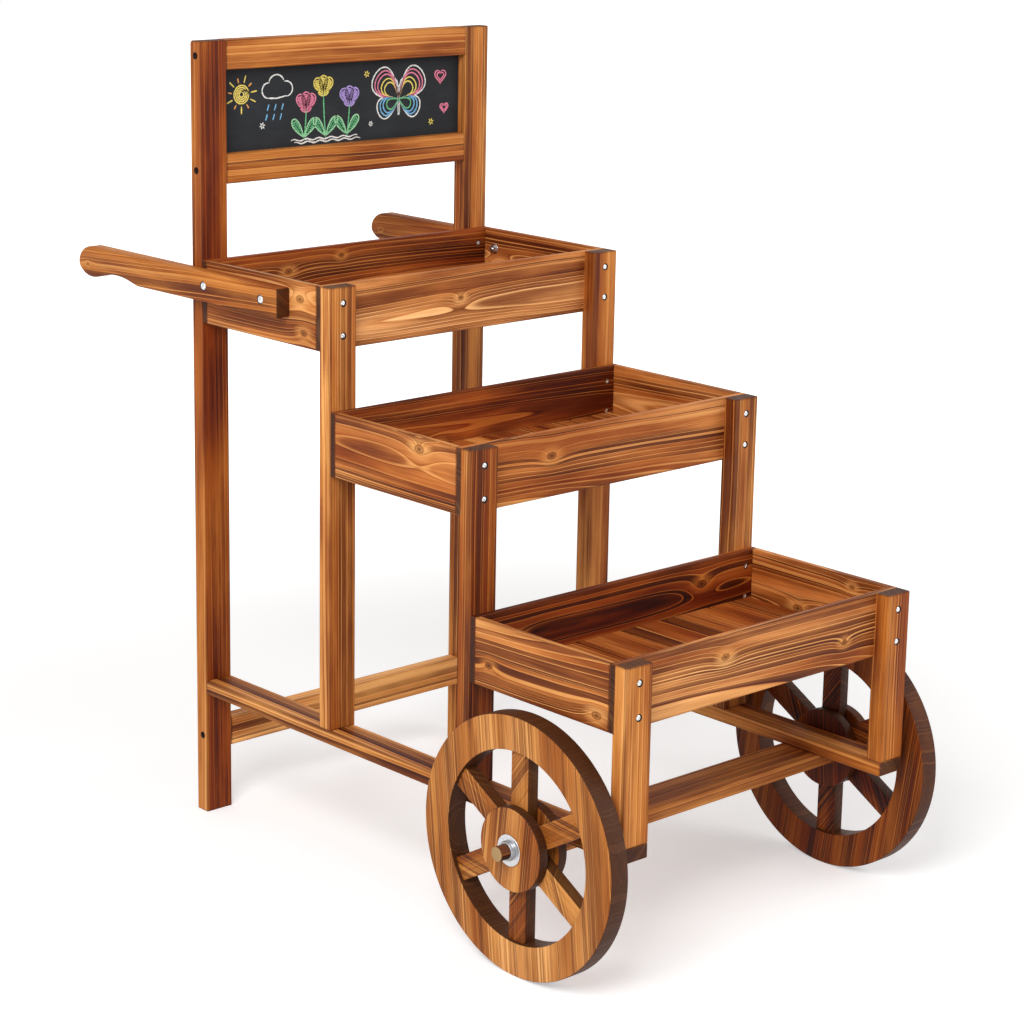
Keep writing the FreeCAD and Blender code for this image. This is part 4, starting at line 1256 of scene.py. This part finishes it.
@dataclass
class Handle:
    """A push handle sawn from a flat bar, with a swelling grip, its edges rounded for the hand.

    GRIP runs round the rear end: how far each point lies before it and above the base, and the
    radius of the curve that leads there, negative where that is hollow, all in millimetres.
    """

    side: str
    front: float = POST_FACE - 0.202
    rear: float = POST_FACE + 0.278
    base: float = 0.780
    depth: float = 0.042
    thick: float = 0.024
    face: float = 0.270
    edge: float = 0.0032
    bolt_height: float = 0.022
    sink_radius: float = 6.6 * MM
    sink_depth: float = 2.1 * MM
    GRIP: ClassVar[tuple[tuple[float, float, float], ...]] = (
        (152.0, -1.6, 0.0),
        (144.0, -0.6, 33.0),
        (131.0, 2.4, 0.0),
        (51.0, -0.4, -145.0),
        (32.0, -3.4, 62.0),
        (3.0, 8.6, 41.0),
        (0.0, 16.0, 10.5),
        (6.4, 31.4, 21.8),
        (32.0, 42.0, 36.2),
    )
    GROWN: ClassVar[Cut] = Cut(
        heart=(0.055, 0.045),
        lean=(0.05, 0.0),
        ring=0.0068,
        waver=0.0024,
        knots=((-0.004, 0.215, 0.0022),),
        scorch=0.50,
        tone=1.04,
    )

    def outline(self) -> Outline:
        """The side view as points along Y and Z, run anticlockwise."""
        points = [(self.front, self.base)]
        last = Vector(points[0])
        for back, up, radius in self.GRIP:
            here = Vector((self.rear - back * MM, self.base + up * MM))
            if radius:
                chord = here - last
                size = abs(radius) * MM
                half = math.asin(min(1.0, chord.length / 2 / size))
                outward = Vector((chord.y, -chord.x)).normalized() * math.copysign(1.0, radius)
                centre = (last + here) / 2 - outward * size * math.cos(half)
                steps = max(4, int(chord.length / (2.2 * MM)))
                spoke = last - centre
                for step in range(1, steps + 1):
                    turn = 2 * half * step / steps * math.copysign(1.0, radius)
                    points.append(tuple(centre + Matrix.Rotation(turn, 2) @ spoke))
            else:
                points.append(tuple(here))
            last = here
        points.append((self.front, self.base + self.depth))
        return points

    def bar(self) -> bpy.types.Mesh:
        """The bar with rounded edges, before its holes are sunk."""
        sign = SIDES[self.side]
        shape = bmesh.new()
        faces = (sign * self.face, sign * (self.face + self.thick))
        rows = [[shape.verts.new((x, y, z)) for y, z in self.outline()] for x in faces]
        caps = [shape.faces.new(row) for row in rows]
        skin(shape, rows)
        bmesh.ops.recalc_face_normals(shape, faces=shape.faces)
        round_edges = {edge for cap in caps for edge in cap.edges}
        corners = {
            edge
            for edge in shape.edges
            if len(edge.link_faces) == 2 and edge not in round_edges and edge.calc_face_angle(0.0) > 1.2
        }
        bmesh.ops.bevel(
            shape,
            geom=list(round_edges | corners),
            offset=self.edge,
            segments=4,
            affect="EDGES",
            profile=0.5,
            clamp_overlap=True,
        )
        return to_mesh(shape, f"handle_{self.side}_shaped")

    def build(self) -> None:
        """Makes the bar with its sunk bolt holes."""
        node = f"handle_{self.side}"
        bar = new_object(node + "_shaped", self.bar())
        wide, deep = self.sink_radius, self.sink_depth
        outline = [(0.0, -deep), (wide, -deep), (wide, 2.0 * MM), (0.0, 2.0 * MM)]
        for reach in HANDLE_BOLTS:
            centre = Vector((0.0, POST_FACE - reach, self.base + self.bolt_height))
            sink = lathe("sink", outline, 48, closed=False)
            cutter = new_object("sink", point_along_x(sink, SIDES[self.side], self.face + self.thick, centre))
            hole = bar.modifiers.new("hole", "BOOLEAN")
            hole.operation = "DIFFERENCE"
            hole.solver = "EXACT"
            hole.object = cutter
            cut = evaluated(bar)
            bar.modifiers.clear()
            bar.data = cut
            bpy.data.objects.remove(cutter)
        smooth(bar.data, 40.0)
        wood = SOFTWOOD.material(node, *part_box(node), Grain.ALONG_Y, self.GROWN, FRAME_STAIN, arris=False)
        bar.data.materials.clear()
        bar.data.materials.append(wood)
        settle(bar, "stand", "handle_wood", node)
        LOG.info("%s: %d faces", node, len(bar.data.polygons))


# ------------------------------------------------------------------------------ fasteners


@dataclass(frozen=True)
class Screw:
    """One size of screw and the sunk hole that it sits in.

    Attributes:
        head: the head's radius, its height over the seat and how much of that is domed.
        hole: the hole's radius and depth, and the radius of the dark lip round its mouth, which is
        painted shade like the hole's wall.
        neck: the stem's radius.
    """

    head: tuple[float, float, float]
    hole: tuple[float, float, float]
    neck: float

    def template(self, name: str) -> bpy.types.Mesh:
        """A head with a cross recess, its seat at the origin and a stub of its stem along -Z.

        Args:
            name: the mesh's name.

        Returns:
            The mesh.
        """
        radius, height, dome = self.head
        rings, bulge, stem = 14, 0.93, 1.0 * MM
        rim = height - dome
        outline = []
        for ring in range(rings):
            share = ring / (rings - 1)
            fall = (1 - math.sqrt(1 - (bulge * share) ** 2)) / (1 - math.sqrt(1 - bulge**2))
            outline.append((radius * share * 0.97, height - dome * fall))
        outline += [(radius, 0.92 * rim), (radius, 0.0), (self.neck, 0.0), (self.neck, -stem), (0.0, -stem)]
        mesh = lathe(name, outline, 56, closed=False)
        reach = radius * 0.56
        width = radius * 0.15
        for vertex in mesh.vertices:
            x, y, z = vertex.co
            if z < rim - 0.001 * MM:
                continue
            far, near = max(abs(x), abs(y)), min(abs(x), abs(y))
            if far < reach and near < width * (1.25 - 0.5 * far / reach):
                vertex.co.z -= height * 0.42 * (1.15 - far / reach)
        smooth(mesh, 30.0)
        return mesh

    def liner(self, name: str) -> bpy.types.Mesh:
        """A thin closed shell of painted shade on the hole's wall and lip, from its mouth at the origin to -Z.

        Args:
            name: the mesh's name.

        Returns:
            The mesh.
        """
        hole, depth, lip = self.hole
        thin = 0.05 * MM
        outline = [
            (lip, -thin),
            (lip, thin),
            (hole, thin),
            (hole, thin - depth),
            (0.0, thin - depth),
            (0.0, -depth),
            (hole + thin, -depth),
            (hole + thin, -thin),
        ]
        return lathe(name, outline, 48)


TOWARDS = {
    "-Y": (math.radians(90), 0.0, 0.0),
    "+Y": (math.radians(-90), 0.0, 0.0),
    "-Z": (math.radians(180), 0.0, 0.0),
    "left": (0.0, math.radians(-90), 0.0),
    "right": (0.0, math.radians(90), 0.0),
}
INWARDS = {
    TOWARDS["-Y"]: Vector((0, 1, 0)),
    TOWARDS["+Y"]: Vector((0, -1, 0)),
    TOWARDS["-Z"]: Vector((0, 0, 1)),
    TOWARDS["left"]: Vector((1, 0, 0)),
    TOWARDS["right"]: Vector((-1, 0, 0)),
}


@dataclass
class Fasteners:
    """Every screw, bolt, washer and nut, with the sunk holes that they sit in."""

    rows: tuple[float, float] = (0.0225, 0.0675)
    post_spots: tuple[tuple[float, float], ...] = ((0.012, 1.119), (0.012, 0.958), (0.010, 0.1185))
    side_face: float = 0.270
    bolt_height: float = 0.802
    washer_thick: float = 1.5 * MM
    PAN: ClassVar[Screw] = Screw((4.0 * MM, 2.5 * MM, 1.1 * MM), (4.7 * MM, 2.5 * MM, 5.15 * MM), 2.2 * MM)
    DEEP: ClassVar[Screw] = Screw((4.4 * MM, 3.5 * MM, 1.4 * MM), (4.7 * MM, 12 * MM, 5.3 * MM), 2.4 * MM)
    FLUSH: ClassVar[Screw] = Screw(
        (3.85 * MM, 2.9 * MM, 0.15 * MM), (3.9 * MM, 3.0 * MM, 4.75 * MM), 2.1 * MM
    )
    BOLT: ClassVar[Screw] = Screw((5.5 * MM, 3.5 * MM, 1.7 * MM), (6.3 * MM, 2.0 * MM, 6.75 * MM), 2.9 * MM)

    def __post_init__(self) -> None:
        """Makes the two finishes that all the groups share."""
        self.metal = ZincPlate("screw", colour="#E4E5E6", roughness=0.24).material()
        # painted shade: the near-black finish of the liners that darken the screw holes and a ring round their
        # mouths
        self.darkened = HoleShade().material()

    def in_steps(self, start: float) -> Spots:
        """Four screws for each box, in faces a step apart that start before the posts' faces."""
        return [
            (Vector((sign * LEG_X, POST_FACE - start - number * TIER_PITCH, rim - row)), TOWARDS["-Y"])
            for number, rim in enumerate(RIMS.values())
            for sign in SIDES.values()
            for row in self.rows
        ]

    def sunk(self, spots: Spots, depth: float) -> Spots:
        """The same spots, sunk by a depth against the way that they face."""
        return [(place + INWARDS[turn] * depth, turn) for place, turn in spots]

    def group(self, node: str, screw: Screw, spots: Spots) -> None:
        """Makes one node's screws and the liners of their holes.

        Args:
            node: the CAD node that they stand for.
            screw: their size.
            spots: the mouths of their holes.
        """
        seats = self.sunk(spots, screw.hole[1])
        heads = screw.template(node)
        made = REPEATER.make(node + "_heads", heads, seats, self.metal, spin=math.pi, seed=len(node))
        settle(made, "stand", "screw_steel", node)
        # the liners darken each hole and a thin ring round its mouth as painted shade
        lined = REPEATER.make(node + "_holes", screw.liner(node + "_hole"), spots, self.darkened)
        settle(lined, "stand", "frame_wood")

    def screws(self) -> None:
        """Makes the screws that hold legs, rails, boards and beam."""
        self.group("leg_screws", self.PAN, self.in_steps(TIER_PITCH))
        posts = [
            (Vector((sign * self.side_face, POST_FACE + depth, height)), TOWARDS[side])
            for side, sign in SIDES.items()
            for depth, height in self.post_spots
        ]
        self.group("post_screws", self.DEEP, posts)
        self.group("back_board_screws", self.FLUSH, self.in_steps(0.010))
        rear = [
            (Vector((sign * LEG_X + way * 0.012, POST_FACE + 0.024, 0.195)), TOWARDS["+Y"])
            for sign in SIDES.values()
            for way in (-1, 1)
        ]
        self.group("side_rail_screws", self.FLUSH, rear)
        feet = [
            (Vector((sign * LEG_X, POST_FACE - (number + 1) * TIER_PITCH + 0.012, 0.185)), TOWARDS["-Z"])
            for number in range(len(RIMS))
            for sign in SIDES.values()
        ]
        self.group("leg_foot_screws", self.FLUSH, feet)
        beam = [
            (Vector((sign * LEG_X, AXLE.y + way * 0.020, 0.165)), TOWARDS["-Z"])
            for sign in SIDES.values()
            for way in (-1, 1)
        ]
        self.group("axle_beam_screws", self.FLUSH, beam)

    def build(self) -> None:
        """Makes all the screws, then the handle bolts with their washers and nuts."""
        self.screws()
        bolts = []
        inside = []
        for (side, sign), other in zip(SIDES.items(), ("right", "left")):
            for reach in HANDLE_BOLTS:
                bolts.append((Vector((sign * 0.294, POST_FACE - reach, self.bolt_height)), TOWARDS[side]))
                inside.append((Vector((sign * 0.260, POST_FACE - reach, self.bolt_height)), TOWARDS[other]))
        self.group("handle_bolts", self.BOLT, bolts)
        inner, outer, thick = 3.0 * MM, 8.0 * MM, self.washer_thick
        corners = [
            (inner, 0.0, 0.0),
            (outer, 0.0, 0.3 * MM),
            (outer, thick, 0.5 * MM),
            (inner, thick, 0.3 * MM),
        ]
        washer = lathe("bolt_washer", soften(corners), 72)
        made = REPEATER.make("handle_washers_turned", washer, inside, self.metal)
        settle(made, "stand", "screw_steel", "handle_washers")
        seats = self.sunk(inside, -thick)
        made = REPEATER.make("handle_nuts_chamfered", self.nut(), seats, self.metal, spin=math.pi, seed=11)
        settle(made, "stand", "screw_steel", "handle_nuts")

    def nut(self) -> bpy.types.Mesh:
        """A hexagon nut with chamfered corners, on the end of its bolt, its seat at the origin."""
        flats, height, bolt = 4.9 * MM, 5.0 * MM, self.BOLT.neck
        side = math.pi / 3
        shape = bmesh.new()
        columns = []
        for x, y in circle(1.0, 72):
            local = (math.atan2(y, x) + side / 2) % side - side / 2
            hexagon = flats / math.cos(local)
            fall = max(0.0, hexagon - flats * 1.02) * 0.58
            profile = (
                (bolt, 0.0),
                (hexagon, 0.0),
                (hexagon, height - fall),
                (flats * 0.99, height),
                (bolt + 0.3 * MM, height),
                (bolt, height - 0.5 * MM),
                (bolt, height + 1.2 * MM),
                (bolt - 0.5 * MM, height + 1.6 * MM),
            )
            columns.append([shape.verts.new((radius * x, radius * y, z)) for radius, z in profile])
        rows = [list(row) for row in zip(*columns)]
        skin(shape, rows)
        for cap in (rows[-1], rows[0]):
            shape.faces.new(cap)
        bmesh.ops.recalc_face_normals(shape, faces=shape.faces)
        mesh = to_mesh(shape, "nut")
        smooth(mesh, 25.0)
        return mesh


# ----------------------------------------------------------------------------- chalkboard


def turned(x: float, y: float, along: float, across: float, angle: float) -> tuple[float, float]:
    """The point that lies so far along and across a direction in degrees, seen from x and y."""
    turn = math.radians(angle)
    return (
        x + along * math.cos(turn) - across * math.sin(turn),
        y + along * math.sin(turn) + across * math.cos(turn),
    )


@dataclass
class Chalkboard:
    """The painted panel with a plain chalk drawing: sun, cloud, tulips, a butterfly and hearts.

    The drawing is set out in millimetres from the lower middle of the frame's opening.
    """

    face: float = POST_FACE + 0.016
    base: float = 0.979
    seed: int = 21
    chalk_width: float = 1.15
    grit: float = 1.2
    strokes: dict[str, list[Outline]] = field(default_factory=dict)
    STICKS: ClassVar[dict[str, str]] = {
        "white": "#FCFCF8",
        "yellow": "#FFE676",
        "orange": "#FFB265",
        "pink": "#FA8FAC",
        "violet": "#C6ABF2",
        "blue": "#86C8F5",
        "green": "#78CF92",
        "leaf": "#AEE8B4",
    }

    def draw(self, colour: str, points: Outline) -> None:
        """Keeps one stroke of a colour."""
        self.strokes.setdefault(colour, []).append(points)

    def arc(
        self, colour: str, x: float, y: float, wide: float, high: float, start: float, end: float
    ) -> None:
        """Draws part of an ellipse, from one angle to another in degrees."""
        steps = max(6, int(abs(end - start) * max(wide, high) / 90))
        points = []
        for step in range(steps + 1):
            angle = math.radians(start + (end - start) * step / steps)
            points.append((x + wide * math.cos(angle), y + high * math.sin(angle)))
        self.draw(colour, points)

    def petal(self, colour: str, x: float, y: float, length: float, width: float, angle: float) -> None:
        """Draws a leaf, petal or wing: a pointed loop from its root."""
        points = []
        for step in range(25):
            turn = math.pi * step / 24
            points.append(turned(x, y, length * math.sin(turn), 0.5 * width * math.sin(2 * turn), angle))
        self.draw(colour, points)

    def hatch(self, colour: str, x: float, y: float, length: float, width: float, angle: float) -> None:
        """Fills a petal with slanting strokes that stop a little short of its outline."""
        for row in range(3, 10):
            along = length * row / 10.5
            half = 0.40 * width * abs(math.sin(2 * math.asin(row / 10.5)))
            ends = ((along - 1.5, -half), (along + 1.5, half))
            self.draw(colour, [turned(x, y, far, across, angle) for far, across in ends])

    def sun(self, x: float, y: float) -> None:
        """A sun of four rings with eleven rays."""
        for turn in range(4):
            size = 13 - 3 * turn
            self.arc("yellow", x, y, size, size, 20 * turn, 380 + 20 * turn)
        for ray in range(11):
            angle = 360 * ray / 11 + 8
            colour, far = ("orange", 24) if ray % 2 else ("yellow", 28)
            self.draw(colour, [turned(x, y, 17, 0, angle), turned(x, y, far, 0, angle)])

    def cloud(self, x: float, y: float) -> None:
        """A cloud with six drops of rain."""
        self.arc("white", x - 15, y - 4, 11, 11, 80, 270)
        self.arc("white", x, y + 5, 14, 13, 20, 165)
        self.arc("white", x + 17, y - 3, 12, 11, -80, 105)
        self.draw("white", [(x - 16, y - 15), (x, y - 16), (x + 19, y - 13)])
        for row in range(2):
            for column in range(3):
                left = x - 14 + 13 * column - 3 * row
                top = y - 24 - 14 * row
                self.draw("blue", [(left, top), (left - 3, top - 9)])

    def tulip(self, x: float, height: float, lean: float, colour: str) -> None:
        """One tulip with two leaves."""
        stem = [(x + lean * math.sin(step / 10 * 1.4), 9 + (height - 9) * step / 10) for step in range(11)]
        self.draw("green", stem)
        top_x, top_y = stem[-1]
        for angle in (128, 52):
            self.petal("leaf", x, 12, 34, 12, angle)
            self.draw("green", [(x, 12), turned(x, 12, 0.8 * 34, 0, angle)])
            self.hatch("green", x, 12, 34, 12, angle)
        for angle in (60, 90, 120):
            self.petal(colour, top_x, top_y - 2, 28, 15, angle)
            self.hatch(colour, top_x, top_y - 2, 28, 15, angle)
        self.arc(colour, top_x, top_y + 5, 10, 8, 180, 360)

    def butterfly(self, x: float, y: float) -> None:
        """A large butterfly, its wings banded in the sticks' colours."""
        upper = ((60, 44, "white"), (54, 38, "pink"), (48, 32, "pink"), (40, 26, "yellow"), (33, 20, "yellow"))
        lower = ((44, 32, "white"), (38, 26, "blue"), (32, 21, "blue"), (25, 15, "green"))
        feeler = ((0, 15), (4, 27), (10, 33), (13, 31))
        for side in (-1, 1):
            for lean, rings in ((49, upper), (114, lower)):
                for length, width, colour in rings:
                    self.petal(colour, x, y, length, width, 90 - side * lean)
            self.draw("white", [(x + side * out, y + up) for out, up in feeler])
        for shift in (-1.2, 0.0, 1.2):
            self.draw("white", [(x + shift, y + up) for up in (-24, -5, 16)])

    def heart(self, x: float, y: float, size: float) -> None:
        """A small heart, drawn twice over."""
        for scale in (size / 16, 0.6 * size / 16):
            points = []
            for step in range(25):
                angle = 2 * math.pi * step / 24
                across = 16 * math.sin(angle) ** 3
                up = 13 * math.cos(angle) - 5 * math.cos(2 * angle)
                up -= 2 * math.cos(3 * angle) + math.cos(4 * angle)
                points.append((x + scale * across, y + scale * up))
            self.draw("pink", points)

    def star(self, x: float, y: float, size: float, colour: str) -> None:
        """A small star of three crossed strokes."""
        for angle in (12, 72, 132):
            self.draw(colour, [turned(x, y, -size, 0, angle), turned(x, y, size, 0, angle)])

    def compose(self) -> None:
        """Sets out the drawing."""
        self.sun(-187, 81)
        self.cloud(-124, 88)
        for x, height, lean, colour in ((-74, 52, 4, "pink"), (-34, 74, -4, "yellow"), (6, 56, 5, "violet")):
            self.tulip(x, height, lean, colour)
        for row in range(2):
            left, level = -98 + 6 * row, 9 - 4 * row
            wave = [(left + 4 * step, level + 1.4 * math.sin(step * 1.1 + row)) for step in range(32)]
            self.draw("white", wave)
        self.butterfly(106, 58)
        self.heart(188, 88, 11)
        self.heart(196, 40, 8)
        self.star(-150, 34, 5, "white")
        self.star(44, 98, 5, "yellow")
        self.star(170, 20, 5, "yellow")
        self.star(52, 24, 4, "white")

    def ribbon(self, shape: bmesh.types.BMesh, points: Outline, dice: random.Random, lift: float) -> None:
        """Lays one stroke on the panel as a strip of uneven width.

        Args:
            shape: the mesh being built.
            points: the stroke in millimetres.
            dice: the source of its unevenness.
            lift: how far it stands off the panel.
        """
        path = [Vector(points[0])]
        for start, end in zip(points, points[1:]):
            a, b = Vector(start), Vector(end)
            steps = max(1, int((b - a).length / self.grit))
            path += [a.lerp(b, step / steps) for step in range(1, steps + 1)]
        last = len(path) - 1
        rows = []
        for index, here in enumerate(path):
            way = path[min(last, index + 1)] - path[max(0, index - 1)]
            way = way.normalized() if way.length else Vector((1, 0))
            side = Vector((-way.y, way.x))
            share = index / max(1, last)
            ends = min(1.0, 0.55 + 3.0 * min(share, 1 - share))
            half = self.chalk_width * ends * dice.uniform(0.72, 1.15)
            row = []
            for edge in (-1, 1):
                spot = here + side * half * edge * dice.uniform(0.85, 1.1)
                row.append(shape.verts.new((spot.x * MM, self.face - lift, self.base + spot.y * MM)))
            rows.append(row)
        for low, high in zip(rows, rows[1:]):
            shape.faces.new((low[0], low[1], high[1], high[0]))

    def build(self) -> None:
        """Dresses the panel and lays the chalk on it."""
        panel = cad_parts["chalkboard_panel"]
        panel.data.materials.clear()
        panel.data.materials.append(BlackboardPaint().material())
        self.compose()
        dice = random.Random(self.seed)
        for number, (name, colour) in enumerate(self.STICKS.items()):
            shape = bmesh.new()
            for points in self.strokes.get(name, []):
                self.ribbon(shape, points, dice, 0.10 * MM + 0.02 * MM * number)
            for made in shape.faces:
                made.normal_update()
                if made.normal.y > 0:
                    made.normal_flip()
            lines = new_object(f"chalk_{name}", to_mesh(shape, f"chalk_{name}"))
            lines.data.materials.append(Chalk(name, colour).material())
            settle(lines, "stand", "chalkboard")
        LOG.info("chalkboard: %d strokes", sum(len(lines) for lines in self.strokes.values()))


# -------------------------------------------------------------------------- stage and main


@dataclass
class Studio:
    """White seamless studio: floor, two soft lamps, a pale surround and the camera.

    The camera's angles are in degrees and its focal length and middle row in pixels of a square
    picture, as they were solved from the photograph's straight edges.
    """

    eye: Vector = field(default_factory=lambda: Vector((-2.51579, -2.77547, 1.46666)))
    azimuth: float = -42.744
    elevation: float = 13.642
    roll: float = 1.017
    focal_px: float = 2701.07
    frame_px: float = 1024.0
    sensor_mm: float = 36.0
    centre_row: float = 461.0
    aim: Vector = field(default_factory=lambda: Vector((0.0, 0.0, 0.45)))
    reach: float = 14.0
    WHITE: ClassVar[tuple[float, float, float, float]] = (1.0, 1.0, 1.0, 1.0)
    PAPER: ClassVar[tuple[float, float, float, float]] = (0.86, 0.86, 0.865, 1.0)
    ROOM: ClassVar[tuple[float, float, float, float]] = (1.0, 0.985, 0.965, 1.0)

    def camera(self) -> None:
        """Sets the camera at the photograph's place and angle."""
        data = bpy.data.cameras.new("camera")
        data.sensor_width = self.sensor_mm
        data.lens = self.focal_px / self.frame_px * self.sensor_mm
        data.shift_y = (self.centre_row - self.frame_px / 2) / self.frame_px
        data.clip_end = 100.0
        a = math.radians(self.azimuth)
        e = math.radians(self.elevation)
        r = math.radians(self.roll)
        back = Vector((math.sin(a) * math.cos(e), -math.cos(a) * math.cos(e), math.sin(e)))
        right = (-back).cross(Vector((0, 0, 1))).normalized()
        up = right.cross(-back)
        turned_right = math.cos(r) * right + math.sin(r) * up
        turned_up = -math.sin(r) * right + math.cos(r) * up
        eye = bpy.data.objects.new("camera", data)
        axes = Matrix((turned_right, turned_up, back)).transposed()
        eye.matrix_world = Matrix.Translation(self.eye) @ axes.to_4x4()
        bpy.context.scene.collection.objects.link(eye)
        bpy.context.scene.camera = eye

    def lamp(self, name: str, place: tuple[float, float, float], size: float, power: float) -> None:
        """Hangs one soft square lamp that looks at the middle of the stand.

        Args:
            name: the lamp's name.
            place: where it hangs.
            size: its side in metres.
            power: its power in watts.
        """
        data = bpy.data.lights.new(name, "AREA")
        data.shape = "SQUARE"
        data.size = size
        data.energy = power
        lamp = bpy.data.objects.new(name, data)
        lamp.location = place
        lamp.rotation_euler = (self.aim - Vector(place)).to_track_quat("-Z", "Y").to_euler()
        bpy.context.scene.collection.objects.link(lamp)

    def surround(self) -> None:
        """Lights from all round, and looks plain white to the camera and in reflections."""
        world = bpy.data.worlds.new("studio")
        bpy.context.scene.world = world
        world.use_nodes = True
        tree = world.node_tree
        tree.nodes.clear()
        path = add(tree, LIGHT_PATH).outputs
        seen = add(tree, MATH, HIGHER, path["Is Camera Ray"], path["Is Transmission Ray"])
        seen = add(tree, MATH, HIGHER, seen, path["Is Glossy Ray"])
        plain = add(tree, "ShaderNodeBackground", None, self.WHITE, 1.0)
        light = add(tree, "ShaderNodeBackground", None, self.ROOM, 0.44)
        add(tree, "ShaderNodeOutputWorld", None, add(tree, "ShaderNodeMixShader", None, seen, light, plain))

    def floor(self) -> None:
        """Lays a white floor that keeps the stand's soft shadow."""
        mesh = bpy.data.meshes.new("floor")
        far = self.reach
        corners = [(-far, -far, 0), (far, -far, 0), (far, far, 0), (-far, far, 0)]
        mesh.from_pydata(corners, [], [(0, 1, 2, 3)])
        floor = new_object("floor", mesh)
        made, tree = new_finish("white_paper")
        path = add(tree, LIGHT_PATH).outputs
        paper = add(tree, "ShaderNodeBsdfDiffuse", None, self.PAPER)
        seen = add(tree, MATH, HIGHER, path["Is Camera Ray"], path["Is Glossy Ray"])
        away = add(tree, VECTOR_MATH, {"operation": "LENGTH"}, add(tree, PLACE).outputs["Object"])
        level = add(tree, RANGE, EASED, away.outputs["Value"], 0.9, 2.6, 0.40, 1.0)
        glow = add(tree, "ShaderNodeEmission", None, self.WHITE, add(tree, MATH, TIMES, seen, level))
        add(tree, SURFACE, None, add(tree, "ShaderNodeAddShader", None, paper, glow))
        floor.data.materials.append(made)

    def build(self) -> None:
        """Sets up the whole studio."""
        bpy.context.scene.view_settings.view_transform = "Standard"
        self.surround()
        self.floor()
        self.lamp("key", (-2.6, -1.6, 2.6), 1.6, 84.0)
        self.lamp("fill", (2.2, -2.8, 1.9), 2.4, 30.0)
        self.camera()


def main() -> None:
    """Builds the looks in order and reports each piece."""
    Timbers().build()
    for side in SIDES:
        Wheel(side).build()
        Handle(side).build()
    AxleHardware().build()
    Fasteners().build()
    Chalkboard().build()
    Studio().build()


if __name__ == "__main__":
    main()
